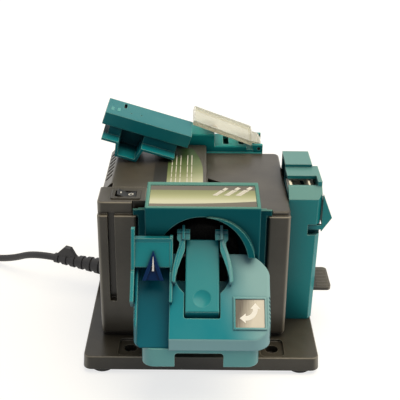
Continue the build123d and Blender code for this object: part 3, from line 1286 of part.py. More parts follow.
with BuildPart() as drill_turret:
    add(turret_block.part)
    with BuildSketch(slope_plane):
        with Locations(((TROUGH_LEFT + TROUGH_RIGHT) / 2, -31)):
            Rectangle(TROUGH_RIGHT - TROUGH_LEFT, 78)
    extrude(amount=-TROUGH_DEEP, mode=Mode.SUBTRACT)
    with BuildSketch(slope_plane):
        Circle(WELL_R)
    extrude(amount=-WELL_DEEP, mode=Mode.SUBTRACT)
    with BuildSketch(slope_plane):
        with Locations((0, -STRIP_DOWN / 2 - 2.2)):
            RectangleRounded(2 * STRIP_HALF + 1.6, STRIP_DOWN + 4.5, 1.5)
    extrude(amount=-WELL_DEEP, mode=Mode.SUBTRACT)
    with BuildSketch(slope_plane):
        with Locations((ARROW_X, -ARROW_DOWN)):
            Rectangle(ARROW_SIZE + 3, ARROW_SIZE + 3)
            Rectangle(ARROW_SIZE, ARROW_SIZE, mode=Mode.SUBTRACT)
    extrude(amount=0.8)
    for side in (-1, 1):
        with BuildSketch(slope_plane.offset(-2)):
            with Locations((side * FIN_X, (FIN_UP + FIN_LINE[0][1]) / 2 - 1)):
                Rectangle(FIN_T, FIN_UP - FIN_LINE[0][1] + 2)
        extrude(amount=FIN_H + 2)
        with BuildSketch(slope_plane.offset(-12)):
            with BuildLine():
                Spline(*[(side * (x + FIN_T / 2), up) for x, up in FIN_LINE])
                Spline(*[(side * (x - FIN_T / 2), up) for x, up in FIN_LINE])
                for x, up in (FIN_LINE[0], FIN_LINE[-1]):
                    Line((side * (x - FIN_T / 2), up), (side * (x + FIN_T / 2), up))
            make_face()
        extrude(amount=FIN_FLARE + 12)
        with BuildSketch(slope_plane.offset(-FIN_CROSS_DEEP)):
            with Locations((side * FIN_X, FIN_UP - 5)):
                Rectangle(FIN_CROSS, FIN_T)
        extrude(amount=FIN_CROSS_DEEP + FIN_H - 1.5)
    bar_x(-25, 25, *on_slope(STRIP_PIN_UP, -3), STRIP_PIN_R + FIT, Mode.SUBTRACT)
    with BuildSketch(Plane.XZ.offset(-FRAME_FRONT - FRAME_WALL - SLIDE - LIP_T)):
        with Locations((0, OPEN_Z)):
            Circle(OPEN_R + LIP_OUT)
            Circle(OPEN_R - RIM_W - 0.3, mode=Mode.SUBTRACT)
            with Locations((0, 2 * OPEN_R - 6)):
                Rectangle(4 * OPEN_R, 4 * OPEN_R, mode=Mode.SUBTRACT)
    extrude(amount=LIP_T)
    with BuildSketch(Plane.XZ.offset(-FRAME_FRONT - FRAME_WALL - SLIDE - LIP_T)):
        with Locations((0, OPEN_Z)):
            Circle(OPEN_R - SLIDE)
            Circle(OPEN_R - RIM_W - 0.3, mode=Mode.SUBTRACT)
            with Locations((0, 2 * OPEN_R - 6)):
                Rectangle(4 * OPEN_R, 4 * OPEN_R, mode=Mode.SUBTRACT)
    extrude(amount=FRAME_FRONT + FRAME_WALL + SLIDE + LIP_T - TURRET_BACK + 0.5)
    for i in range(GRIP_RIBS):
        y = TURRET_FRONT + TURRET_CORNER - 5 + i * GRIP_PITCH
        top = TURRET_TOP - (TURRET_BACK - y) * SLOPE_S / SLOPE_C + 3
        for side in (-1, 1):
            x = side * TURRET_HALF
            block(x - GRIP_DEEP, x + GRIP_DEEP, y - 0.6, y + 0.6, TURRET_FOOT + 3, top, Mode.SUBTRACT)
drill_turret.part.label = "drill_turret"
export_step(drill_turret.part, "parts/drill_turret.step")

# Turret skirt: a lower shell with two short legs
with BuildPart() as turret_skirt:
    with BuildSketch(Plane.XY.offset(SKIRT_FOOT)):
        with Locations((-1, (TURRET_FRONT + SKIRT_INSET + TURRET_BACK - 8) / 2)):
            Rectangle(2 * LEG_OUTER, TURRET_BACK - 8 - TURRET_FRONT - SKIRT_INSET)
    extrude(amount=TURRET_FOOT - FIT - SKIRT_FOOT)
    fillet(turret_skirt.edges().filter_by(Axis.Z).group_by(Axis.Y)[0], TURRET_CORNER - 4)
    offset_wall = LEG_OUTER - SKIRT_WALL
    block(
        -1 - offset_wall,
        -1 + offset_wall,
        TURRET_FRONT + SKIRT_INSET + SKIRT_WALL,
        TURRET_BACK,
        SKIRT_FOOT - 1,
        TURRET_FOOT - SKIRT_WALL,
        Mode.SUBTRACT,
    )
    with BuildSketch(Plane.XZ.offset(-TURRET_BACK)):
        with Locations((-2, SKIRT_FOOT)):
            RectangleRounded(2 * LEG_INNER - 1, 2 * (BAND_FOOT - SKIRT_FOOT), 2.5)
    extrude(amount=TURRET_BACK - TURRET_FRONT, mode=Mode.SUBTRACT)
    block(
        -2 * LEG_OUTER,
        2 * LEG_OUTER,
        TURRET_FRONT + 20,
        TURRET_BACK,
        SKIRT_FOOT - 1,
        BAND_FOOT,
        Mode.SUBTRACT,
    )
turret_skirt.part.label = "turret_skirt"
export_step(turret_skirt.part, "parts/turret_skirt.step")

# Setting gauge: two walls, a bar and a steep plate, at the top of the trough
GAUGE_LEFT = -TURRET_HALF - GAUGE_WALL - FIT
GAUGE_RIGHT = TROUGH_RIGHT + GAUGE_WALL - 0.6
GAUGE_BACK = TURRET_BACK - 0.6
GAUGE_MID = (TROUGH_LEFT + TROUGH_RIGHT) / 2 - 0.5
GAUGE_FACE = GAUGE_BACK - 3.8
STEEP = (GAUGE_FACE - GAUGE_FOOT_Y) / (GAUGE_BAR_Z - GAUGE_FOOT_Z - 2.5)
with BuildPart() as setting_gauge:
    with BuildSketch(Plane.YZ.offset(GAUGE_LEFT)):
        with BuildLine():
            Polyline(
                (GAUGE_BACK, TURRET_TOP - 26),
                (GAUGE_BACK, GAUGE_TOP),
                (GAUGE_BACK - 3, GAUGE_TOP),
                (GAUGE_STEP_Y, GAUGE_STEP_Z),
                (GAUGE_STEP_Y - 2.5, GAUGE_STEP_Z),
                on_slope(-24, 5),
                on_slope(-24, -8),
                close=True,
            )
        make_face()
    extrude(amount=GAUGE_WALL)
    with BuildSketch(Plane.YZ.offset(GAUGE_RIGHT - GAUGE_WALL + 0.6)):
        with BuildLine():
            Polyline(
                on_slope(WELL_DOWN - 1.5, FIT),
                (GAUGE_BACK - 0.4, GAUGE_TOP - 6),
                (GAUGE_BACK - 3, GAUGE_TOP - 6),
                (GAUGE_STEP_Y, GAUGE_STEP_Z),
                (GAUGE_STEP_Y - 2.5, GAUGE_STEP_Z),
                on_slope(-24, 5),
                on_slope(-24, FIT),
                close=True,
            )
        make_face()
    extrude(amount=GAUGE_WALL - 0.6)
    block(
        GAUGE_LEFT + 0.5,
        GAUGE_RIGHT - 0.5,
        GAUGE_BACK - 4.5,
        GAUGE_BACK - 0.5,
        GAUGE_BAR_Z - 2,
        GAUGE_BAR_Z + 1.5,
    )
    with BuildSketch(Plane.YZ.offset(GAUGE_LEFT + 0.5)):
        with BuildLine():
            Polyline(
                (GAUGE_FACE + 2.4, GAUGE_BAR_Z),
                (GAUGE_FACE, GAUGE_BAR_Z),
                (GAUGE_FACE - (GAUGE_BAR_Z - GAUGE_PLATE_FOOT) * STEEP, GAUGE_PLATE_FOOT),
                (GAUGE_FACE - (GAUGE_BAR_Z - GAUGE_PLATE_FOOT) * STEEP + 2.4, GAUGE_PLATE_FOOT),
                close=True,
            )
        make_face()
    extrude(amount=GAUGE_RIGHT - GAUGE_LEFT - 1)
setting_gauge.part.label = "setting_gauge"
export_step(setting_gauge.part, "parts/setting_gauge.step")

# Lip gauge: a dark upturned vee on the front of the plate, with a thin web between its legs
STEEP_LONG = math.hypot(1, STEEP)
vee_plane = Plane(origin=(GAUGE_MID, GAUGE_FACE, GAUGE_BAR_Z), x_dir=(1, 0, 0), z_dir=(0, -1, STEEP))
vee_top = (VEE_TOP - GAUGE_BAR_Z) * STEEP_LONG
vee_foot = (VEE_FOOT - GAUGE_BAR_Z) * STEEP_LONG
vee_in = VEE_HALF - VEE_LEG
vee_in_top = vee_foot + (vee_top - vee_foot) * vee_in / VEE_HALF
with BuildPart() as lip_gauge:
    with BuildSketch(vee_plane.offset(FIT)):
        with BuildLine():
            Polyline((-VEE_HALF, vee_foot), (VEE_HALF, vee_foot), (0, vee_top), close=True)
        make_face()
    extrude(amount=VEE_T)
    with BuildSketch(vee_plane.offset(FIT + VEE_WEB)):
        with BuildLine():
            Polyline((-vee_in, vee_foot), (vee_in, vee_foot), (0, vee_in_top), close=True)
        make_face()
    extrude(amount=VEE_T, mode=Mode.SUBTRACT)
lip_gauge.part.label = "lip_gauge"
export_step(lip_gauge.part, "parts/lip_gauge.step")

# Clamp strip: a hollow bar on a cross pin, with a finger dimple near its lower end
with BuildPart() as strip_bar:
    with BuildSketch(slope_plane.offset(STRIP_STAND - STRIP_T)):
        with Locations((0, (STRIP_UP - STRIP_DOWN) / 2)):
            Rectangle(2 * STRIP_HALF, STRIP_UP + STRIP_DOWN)
    extrude(amount=STRIP_T)
    fillet(strip_bar.faces().filter_by(slope_plane).sort_by(Axis.Z)[-1].edges(), 0.8)
with BuildPart() as clamp_strip:
    add(strip_bar.part)
    with BuildSketch(slope_plane.offset(STRIP_STAND - STRIP_T)):
        with Locations((0, (STRIP_PIN_UP - 5 - STRIP_DOWN + 2) / 2)):
            Rectangle(2 * STRIP_HALF - 4, STRIP_PIN_UP - 5 + STRIP_DOWN - 2)
    extrude(amount=STRIP_T - 2.8, mode=Mode.SUBTRACT)
    bar_x(-25, 25, *on_slope(STRIP_PIN_UP, -3), STRIP_PIN_R + RUN, Mode.SUBTRACT)
    ball = (DIMPLE_R**2 + DIMPLE_DEEP**2) / (2 * DIMPLE_DEEP)
    with Locations((0, *on_slope(-DIMPLE_DOWN, STRIP_STAND + ball - DIMPLE_DEEP))):
        Sphere(ball, mode=Mode.SUBTRACT)
clamp_strip.part.label = "clamp_strip"
export_step(clamp_strip.part, "parts/clamp_strip.step")

# Pin of the clamp strip, held in the two fins
with BuildPart() as clamp_pin:
    bar_x(-FIN_X - 4, FIN_X + 4, *on_slope(STRIP_PIN_UP, -3), STRIP_PIN_R)
clamp_pin.part.label = "clamp_pin"
export_step(clamp_pin.part, "parts/clamp_pin.step")

# Chisel housing: a drafted column open to the body, with a bevelled top, a window and a hood
def column_plan(wide, cut):
    """Corners of the column in plan, with its front right edge cut off."""
    return [
        (COLUMN_X, COLUMN_FRONT),
        (COLUMN_X + wide - COLUMN_BEVEL, COLUMN_FRONT),
        (COLUMN_X + wide, COLUMN_FRONT + cut),
        (COLUMN_X + wide, COLUMN_BACK),
        (COLUMN_X, COLUMN_BACK),
    ]


def column_room(wide):
    """Corners of the room inside the column in plan."""
    return [
        (COLUMN_X - 1, COLUMN_FRONT + COLUMN_WALL),
        (COLUMN_X + wide - COLUMN_BEVEL - COLUMN_WALL, COLUMN_FRONT + COLUMN_WALL),
        (COLUMN_X + wide - COLUMN_WALL, COLUMN_FRONT + COLUMN_WALL + 5),
        (COLUMN_X + wide - COLUMN_WALL, COLUMN_IN),
        (COLUMN_X - 1, COLUMN_IN),
    ]


COLUMN_RIGHT = COLUMN_X + COLUMN_WIDE_TOP
ROOM_TOP = COLUMN_TOP - COLUMN_WALL
room_up = (ROOM_TOP - COLUMN_FOOT) / (COLUMN_TOP - COLUMN_FOOT)
room_wide = COLUMN_WIDE_FOOT + (COLUMN_WIDE_TOP - COLUMN_WIDE_FOOT) * room_up
with BuildPart() as chisel_housing:
    with BuildSketch(Plane.XY.offset(COLUMN_FOOT)):
        with BuildLine():
            Polyline(*column_plan(COLUMN_WIDE_FOOT, 5), close=True)
        make_face()
    with BuildSketch(Plane.XY.offset(COLUMN_TOP)):
        with BuildLine():
            Polyline(*column_plan(COLUMN_WIDE_TOP, 5), close=True)
        make_face()
    loft()
    with BuildSketch(Plane.XY.offset(COLUMN_FOOT)):
        with BuildLine():
            Polyline(*column_room(COLUMN_WIDE_FOOT), close=True)
        make_face()
    with BuildSketch(Plane.XY.offset(ROOM_TOP)):
        with BuildLine():
            Polyline(*column_room(room_wide), close=True)
        make_face()
    loft(mode=Mode.SUBTRACT)
    # Bevelled front of the top, cheek, hood and rear block
    with BuildSketch(Plane.YZ.offset(COLUMN_X)):
        with BuildLine():
            Polyline(
                (COLUMN_FRONT, COLUMN_TOP - 0.2),
                (COLUMN_FRONT, COLUMN_TOP),
                (COLUMN_FRONT + BEVEL_RUN, BEVEL_TOP),
                (COLUMN_FRONT + BEVEL_RUN + COLUMN_WALL, BEVEL_TOP),
                (COLUMN_FRONT + BEVEL_RUN + COLUMN_WALL, COLUMN_TOP - 0.2),
                close=True,
            )
        make_face()
    extrude(amount=COLUMN_WIDE_TOP)
    block(COLUMN_RIGHT - 3.5, COLUMN_RIGHT, COLUMN_FRONT + BEVEL_RUN, HOOD_BACK, COLUMN_TOP - 0.2, HOOD_Z)
    block(COLUMN_X, COLUMN_RIGHT, HOOD_FRONT, HOOD_BACK, HOOD_Z - 3, HOOD_Z)
    block(COLUMN_X, COLUMN_RIGHT - HOOD_REAR_IN, HOOD_STEP, COLUMN_BACK - 2, COLUMN_TOP - 0.2, HOOD_REAR_Z)
    block(
        COLUMN_X - 1,
        COLUMN_RIGHT - HOOD_REAR_IN - COLUMN_WALL,
        HOOD_STEP + COLUMN_WALL,
        COLUMN_BACK - 2 - COLUMN_WALL,
        ROOM_TOP - 1,
        HOOD_REAR_Z - COLUMN_WALL,
        Mode.SUBTRACT,
    )
    with BuildSketch(Plane.XY.offset(COLUMN_TOP - 1)):
        with BuildLine():
            Polyline(
                (COLUMN_RIGHT - COLUMN_BEVEL, COLUMN_FRONT),
                (COLUMN_RIGHT + 1, COLUMN_FRONT),
                (COLUMN_RIGHT + 1, COLUMN_FRONT + 5),
                (COLUMN_RIGHT, COLUMN_FRONT + 5),
                close=True,
            )
        make_face()
    extrude(amount=HOOD_Z, mode=Mode.SUBTRACT)
    # Opening in the top plate over the wheel
    block(
        SIDE_WHEEL_X - 1,
        SIDE_WHEEL_END + 2,
        COLUMN_FRONT + BEVEL_RUN + COLUMN_WALL + 3,
        SHAFT_Y + 12,
        ROOM_TOP - 1,
        COLUMN_TOP,
        Mode.SUBTRACT,
    )
    # Lips that hook behind the rail heads
    lip_back = RAIL_OUT - SLIDE
    lip_gap = RAIL_WEB / 2 + SLIDE
    block(BODY_RIGHT + SLIDE, lip_back, COLUMN_FRONT + 0.5, SIDE_RAIL_FRONT - lip_gap, 20, RAIL_TOP - 6)
    block(BODY_RIGHT + SLIDE, lip_back, SIDE_RAIL_BACK + lip_gap, COLUMN_BACK - 0.5, 20, RAIL_TOP - 6)
    # Rib behind the lever, notch for its arm, seats for its pin
    rib = LEVER_FRONT + LEVER_T + 0.6
    block(LEVER_X - 4, COLUMN_RIGHT - 3, rib, rib + 2.1, LEVER_Z - 11, LEVER_Z + 11)
    block(
        LEVER_X + 5.5,
        COLUMN_RIGHT + 2,
        COLUMN_FRONT - 1,
        rib - 0.1,
        LEVER_Z - NOTCH_HALF - 1.3,
        LEVER_Z + NOTCH_HALF - 0.4,
        Mode.SUBTRACT,
    )
    bar_y(COLUMN_FRONT + 1, rib + 3, LEVER_X, LEVER_Z, LEVER_PIN_R + FIT, Mode.SUBTRACT)
    # Slot and pin ribs of the press tab
    block(
        PRESS_X + 3.5,
        COLUMN_RIGHT + 2,
        PRESS_FRONT - 0.6,
        PRESS_BACK + 0.6,
        PRESS_Z - 5,
        PRESS_Z + 3,
        Mode.SUBTRACT,
    )
    for y in (PRESS_FRONT - 0.8 - 2.2, PRESS_BACK + 0.8):
        block(PRESS_X - 3, PRESS_X + 6, y, y + 2.2, PRESS_Z - 6, PRESS_Z + 6)
        bar_y(y - 1, y + 3.2, PRESS_X, PRESS_Z, PRESS_PIN_R + FIT, Mode.SUBTRACT)
chisel_housing.part.label = "chisel_housing"
export_step(chisel_housing.part, "parts/chisel_housing.step")

# Chisel guide: a bent steel bed with two cheeks, seen in the window
BED_FRONT = COLUMN_FRONT + BEVEL_RUN + COLUMN_WALL + FIT
BED_BACK = HOOD_STEP - 0.3
with BuildPart() as chisel_guide:
    block(COLUMN_X + 1, COLUMN_RIGHT - 4, BED_FRONT, BED_BACK, COLUMN_TOP + FIT, COLUMN_TOP + 1.4)
    block(
        SIDE_WHEEL_X + 1,
        SIDE_WHEEL_END + 2,
        BED_FRONT + 4,
        BED_BACK - 1.5,
        COLUMN_TOP - 1,
        COLUMN_TOP + 2,
        Mode.SUBTRACT,
    )
    for x in (COLUMN_X + 1.5, SIDE_WHEEL_END + 3.5):
        block(x, x + 1.4, BED_FRONT, BED_BACK - 6, COLUMN_TOP + 1, BEVEL_TOP - 0.5)
    cheek_x = SIDE_WHEEL_X - 0.8
    block(cheek_x, cheek_x + 1.2, BED_FRONT + 2, BED_BACK - 8, COLUMN_TOP + 1, BEVEL_TOP - 1.5)
chisel_guide.part.label = "chisel_guide"
export_step(chisel_guide.part, "parts/chisel_guide.step")

# Chisel lever: a plate on a pin inside the column, its blade and a flange outside the right wall
with BuildPart() as chisel_lever:
    with BuildSketch(Plane.XZ.offset(-LEVER_FRONT - LEVER_T)):
        with Locations((LEVER_X, LEVER_Z)):
            Circle(LEVER_ARM)
        with BuildLine():
            Polyline(
                (LEVER_X, LEVER_Z - LEVER_ARM / 2),
                (COLUMN_RIGHT + 0.6, LEVER_Z - LEVER_ARM / 2),
                (COLUMN_RIGHT + 0.6, LEVER_Z - LEVER_ARM),
                (LEVER_TIP, LEVER_Z + 8.5),
                (COLUMN_RIGHT + 0.9, LEVER_TOP),
                (COLUMN_RIGHT + 0.6, LEVER_Z + LEVER_ARM / 2),
                (LEVER_X, LEVER_Z + LEVER_ARM / 2),
                close=True,
            )
        make_face()
        with Locations((LEVER_X, LEVER_Z)):
            Circle(LEVER_PIN_R + RUN, mode=Mode.SUBTRACT)
    extrude(amount=LEVER_T)
    block(
        COLUMN_RIGHT + 0.7,
        COLUMN_RIGHT + 0.7 + LEVER_FLANGE_T,
        LEVER_FRONT + 0.5,
        LEVER_FRONT + LEVER_T + LEVER_FLANGE,
        LEVER_Z + LEVER_ARM / 2 + 0.5,
        LEVER_TOP - 6,
    )
chisel_lever.part.label = "chisel_lever"
export_step(chisel_lever.part, "parts/chisel_lever.step")

# Pin of the lever
with BuildPart() as lever_pin:
    bar_y(COLUMN_FRONT + 1.2, LEVER_FRONT + LEVER_T + 2.7, LEVER_X, LEVER_Z, LEVER_PIN_R)
lever_pin.part.label = "lever_pin"
export_step(lever_pin.part, "parts/lever_pin.step")

# Press tab: a ribbed plate that tips down on a pin
with BuildPart() as tab_plate:
    block(PRESS_X, PRESS_TIP, PRESS_FRONT, PRESS_BACK, PRESS_Z - PRESS_T / 2, PRESS_Z + PRESS_T / 2)
    fillet(tab_plate.edges().filter_by(Axis.Z).group_by(Axis.X)[-1], 4.0)
with BuildPart() as press_tab:
    add(tab_plate.part)
    bar_y(PRESS_FRONT, PRESS_BACK, PRESS_X, PRESS_Z, PRESS_PIN_R + 1.4)
    bar_y(PRESS_FRONT - 1, PRESS_BACK + 1, PRESS_X, PRESS_Z, PRESS_PIN_R + RUN, Mode.SUBTRACT)
    for i in range(12):
        y = PRESS_FRONT + 3.2 + i * 2.6
        block(COLUMN_RIGHT + 1.5, PRESS_TIP - 1.5, y - 0.6, y + 0.6, PRESS_Z, PRESS_Z + PRESS_T / 2 + 0.4)
press_tab.part.label = "press_tab"
export_step(press_tab.part, "parts/press_tab.step")

# Pin of the press tab
with BuildPart() as tab_pin:
    bar_y(PRESS_FRONT - 2.8, PRESS_BACK + 2.8, PRESS_X, PRESS_Z, PRESS_PIN_R)
tab_pin.part.label = "tab_pin"
export_step(tab_pin.part, "parts/tab_pin.step")

# Knife housing: a flange in the rear rails and a stepped box behind it
with BuildPart() as knife_tall:
    block(KNIFE_LEFT, KNIFE_STEP, KNIFE_FRONT - 0.5, KNIFE_BACK, KNIFE_FOOT, KNIFE_TALL_Z)
    fillet(knife_tall.faces().sort_by(Axis.Z)[-1].edges(), 1.5)
with BuildPart() as knife_low:
    block(KNIFE_STEP - 2, KNIFE_RIGHT, KNIFE_FRONT - 0.5, KNIFE_BACK, KNIFE_FOOT, KNIFE_LOW_Z)
    fillet(knife_low.faces().sort_by(Axis.Z)[-1].edges().sort_by(Axis.X)[1:], 1.5)
KNIFE_PLATE = BODY_BACK + SLIDE
with BuildPart() as knife_housing:
    add(knife_tall.part)
    add(knife_low.part)
    block(
        -KNIFE_FLANGE_HALF,
        KNIFE_FLANGE_HALF,
        KNIFE_PLATE,
        KNIFE_PLATE + KNIFE_FLANGE_T,
        BASE_TOP + 1.7,
        KNIFE_FLANGE_TOP,
    )
    block(KNIFE_LEFT, KNIFE_RIGHT, KNIFE_PLATE + 1, KNIFE_FRONT, KNIFE_FOOT, KNIFE_FLANGE_TOP)
    left = KNIFE_LEFT + KNIFE_WALL
    right = KNIFE_RIGHT - KNIFE_WALL
    rear = KNIFE_BACK - KNIFE_WALL
    front = KNIFE_PLATE + KNIFE_FLANGE_T
    block(left, right, front, rear, KNIFE_FOOT - 1, KNIFE_FLANGE_TOP - 4, Mode.SUBTRACT)
    block(
        KNIFE_RIGHT - 6,
        KNIFE_RIGHT + 1,
        KNIFE_FRONT - 1,
        KNIFE_BACK + 1,
        GUARD_HINGE_Z - 0.7,
        KNIFE_LOW_Z + 1,
        Mode.SUBTRACT,
    )
    top = KNIFE_FLANGE_TOP - 5
    block(left, KNIFE_STEP - KNIFE_WALL, KNIFE_FRONT + 2, rear, top, KNIFE_TALL_Z - KNIFE_WALL, Mode.SUBTRACT)
    block(left, right - 6, KNIFE_FRONT + 2, rear, top, KNIFE_LOW_Z - KNIFE_WALL, Mode.SUBTRACT)
    block(-PASS_HALF, PASS_HALF, KNIFE_PLATE - 1, KNIFE_FRONT + 3, BASE_TOP, SHAFT_Z, Mode.SUBTRACT)
    bar_y(KNIFE_PLATE - 1, KNIFE_FRONT + 3, 0, SHAFT_Z, PASS_HALF, Mode.SUBTRACT)
    for x in (KNIFE_STEP + 8, KNIFE_STEP + 22):
        block(x, x + KNIFE_SLOT_W, KNIFE_FRONT + 5, rear - 4, KNIFE_LOW_Z - 9, KNIFE_LOW_Z + 1, Mode.SUBTRACT)
    lug = GUARD_HINGE_X + GUARD_PIN_R + 2
    for y0, y1 in ((KNIFE_FRONT, GUARD_FRONT - SLIDE), (GUARD_KNUCKLE + SLIDE, KNIFE_BACK)):
        block(KNIFE_RIGHT - 1, lug, y0, y1, GUARD_HINGE_Z - 8, GUARD_HINGE_Z + 3.5)
        bar_y(y0 - 1, y1 + 1, GUARD_HINGE_X, GUARD_HINGE_Z, GUARD_PIN_R + FIT, Mode.SUBTRACT)
knife_housing.part.label = "knife_housing"
export_step(knife_housing.part, "parts/knife_housing.step")

# Clear guard: a tilted plate with a raised border, on a hinge at its right end
tilt = math.radians(GUARD_TILT)
guard_plane = Plane(
    origin=(GUARD_HINGE_X, 0, GUARD_HINGE_Z),
    x_dir=(-math.cos(tilt), 0, math.sin(tilt)),
    z_dir=(-math.sin(tilt), 0, -math.cos(tilt)),
)
with BuildPart() as clear_guard:
    with BuildSketch(guard_plane.offset(-GUARD_T / 2 - GUARD_RISE)):
        with Locations(((GUARD_LONG + 8) / 2, (GUARD_EDGE + GUARD_BACK) / 2)):
            RectangleRounded(GUARD_LONG - 8, GUARD_BACK - GUARD_EDGE, 2)
        with Locations((8, (GUARD_FRONT + GUARD_KNUCKLE) / 2)):
            Rectangle(16, GUARD_KNUCKLE - GUARD_FRONT)
    extrude(amount=GUARD_T)
    with BuildSketch(guard_plane.offset(-GUARD_T / 2 - GUARD_RISE)):
        with Locations(((GUARD_LONG + 8) / 2, (GUARD_EDGE + GUARD_BACK) / 2)):
            RectangleRounded(GUARD_LONG - 8, GUARD_BACK - GUARD_EDGE, 2)
            RectangleRounded(GUARD_LONG - 10.4, GUARD_BACK - GUARD_EDGE - 2.4, 1, mode=Mode.SUBTRACT)
    extrude(amount=-GUARD_RIM / 2)
    bar_y(GUARD_FRONT, GUARD_KNUCKLE, GUARD_HINGE_X, GUARD_HINGE_Z, GUARD_PIN_R + 1.4)
    bar_y(GUARD_FRONT - 1, GUARD_KNUCKLE + 1, GUARD_HINGE_X, GUARD_HINGE_Z, GUARD_PIN_R + RUN, Mode.SUBTRACT)
clear_guard.part.label = "clear_guard"
export_step(clear_guard.part, "parts/clear_guard.step")

# Pin of the guard
with BuildPart() as guard_pin:
    bar_y(KNIFE_FRONT + 0.2, KNIFE_BACK - 0.2, GUARD_HINGE_X, GUARD_HINGE_Z, GUARD_PIN_R)
guard_pin.part.label = "guard_pin"
export_step(guard_pin.part, "parts/guard_pin.step")

# Loose blade guide: a bar that leans from the knife station to the raised cover
lean = math.radians(GUIDE_TILT)
GUIDE_Z = KNIFE_TALL_Z + SEAT + GUIDE_LONG * math.sin(lean)
guide_plane = Plane(
    origin=(GUIDE_RIGHT_X - GUIDE_LONG * math.cos(lean), GUIDE_FRONT, GUIDE_Z),
    x_dir=(math.cos(lean), 0, -math.sin(lean)),
    z_dir=(0, -1, 0),
)
with BuildPart() as blade_guide:
    with BuildSketch(guide_plane):
        with BuildLine():
            Polyline((0, 0), (GUIDE_LONG, 0), (GUIDE_LONG + 0.6, GUIDE_H), (0.6, GUIDE_H), close=True)
        make_face()
    extrude(amount=-GUIDE_DEPTH)
    fillet(blade_guide.faces().sort_by(Axis.Z)[-1].edges(), 0.6)
    with BuildSketch(guide_plane.offset(-GUIDE_WALL)):
        with Locations((GUIDE_LONG / 2, GUIDE_H / 2)):
            Rectangle(GUIDE_LONG - 2 * GUIDE_WALL, GUIDE_H - 2 * GUIDE_WALL)
    extrude(amount=-GUIDE_DEPTH, mode=Mode.SUBTRACT)
    with BuildSketch(guide_plane.offset(-GUIDE_DEPTH + 15)):
        with Locations((GUIDE_SLOT_X, GUIDE_H)):
            Rectangle(2.4, 6)
    extrude(amount=-GUIDE_SLOT_LONG, mode=Mode.SUBTRACT)
    for x, y in ((GUIDE_SLOT_X + 6, GUIDE_DEPTH - 24), (GUIDE_SLOT_X + 15, GUIDE_DEPTH - 22)):
        spot = guide_plane.from_local_coords((x, GUIDE_H, -y))
        with BuildSketch(Plane(origin=spot, x_dir=(0, 1, 0), z_dir=guide_plane.y_dir)):
            Circle(GUIDE_DOT_R)
        extrude(amount=-2 * GUIDE_WALL + 1, mode=Mode.SUBTRACT)
blade_guide.part.label = "blade_guide"
export_step(blade_guide.part, "parts/blade_guide.step")

# Hat-section clip under the blade guide, closed at the back, just deep enough to stand on the raised cover
HAT_DEEP = (GUIDE_Z - HAT_OUT * math.sin(lean) - HUMP_Z - SEAT) / math.cos(lean)
with BuildPart() as guide_clip:
    with BuildSketch(guide_plane.offset(GUIDE_FRONT - HAT_FRONT)):
        with BuildLine():
            Polyline(
                (HAT_TAB, -HAT_LOW),
                (HAT_IN - 2, -HAT_LOW),
                (HAT_IN, -HAT_DEEP),
                (HAT_OUT, -HAT_DEEP),
                (HAT_OUT + 3, -HAT_LOW),
                (HAT_END, -HAT_LOW),
                (HAT_END, -HAT_LOW + HAT_T),
                (HAT_OUT + 1, -HAT_LOW + HAT_T),
                (HAT_OUT - 2, -HAT_DEEP + HAT_T),
                (HAT_IN + 2, -HAT_DEEP + HAT_T),
                (HAT_IN, -HAT_LOW + HAT_T),
                (HAT_TAB, -HAT_LOW + HAT_T),
                close=True,
            )
        make_face()
    extrude(amount=-HAT_LONG)
    with BuildSketch(guide_plane.offset(-2)):
        with Locations(((HAT_TAB + 4 + HAT_IN) / 2, -HAT_LOW / 2)):
            Rectangle(HAT_IN - HAT_TAB - 4, HAT_LOW - 2 * FIT)
        with Locations(((HAT_OUT + 1 + HAT_END) / 2, -HAT_LOW / 2)):
            Rectangle(HAT_END - HAT_OUT - 1, HAT_LOW - 2 * FIT)
    extrude(amount=-HAT_LONG + GUIDE_FRONT - HAT_FRONT + 2)
    with BuildSketch(guide_plane.offset(GUIDE_FRONT - HAT_FRONT - HAT_LONG + HAT_T)):
        with BuildLine():
            Polyline(
                (HAT_IN + 1, -HAT_DEEP + HAT_T / 2),
                (HAT_OUT - 1, -HAT_DEEP + HAT_T / 2),
                (HAT_OUT + 2, -HAT_LOW + HAT_T / 2),
                (HAT_OUT + 2, -2 * FIT),
                (HAT_IN - 1, -2 * FIT),
                (HAT_IN - 1, -HAT_LOW + HAT_T / 2),
                close=True,
            )
        make_face()
    extrude(amount=-HAT_T)
guide_clip.part.label = "guide_clip"
export_step(guide_clip.part, "parts/guide_clip.step")

# Cord boot: a collar in the left wall and a ribbed taper that leans to the back, with a lug on top
BOOT_DIR = Vector(-0.94, 0.34, 0).normalized()
BOOT_START = Vector(BODY_LEFT - 3.0, BOOT_Y, BOOT_Z)
with BuildPart() as boot_taper:
    ring = BOOT_LONG / (2 * BOOT_RIBS + 1)
    outline = [(0, 0), (BOOT_R, 0)]
    for i in range(BOOT_RIBS):
        z = (2 * i + 1) * ring
        r0 = BOOT_R - (BOOT_R - BOOT_TIP_R) * z / BOOT_LONG
        r1 = BOOT_R - (BOOT_R - BOOT_TIP_R) * (z + ring) / BOOT_LONG
        outline += [(r0, z), (r0 - 1.0, z), (r1 - 1.0, z + ring), (r1, z + ring)]
    outline += [(BOOT_TIP_R, BOOT_LONG), (0, BOOT_LONG)]
    with BuildSketch(Plane.XZ):
        with BuildLine():
            Polyline(*outline, close=True)
        make_face()
    revolve(axis=Axis.Z)
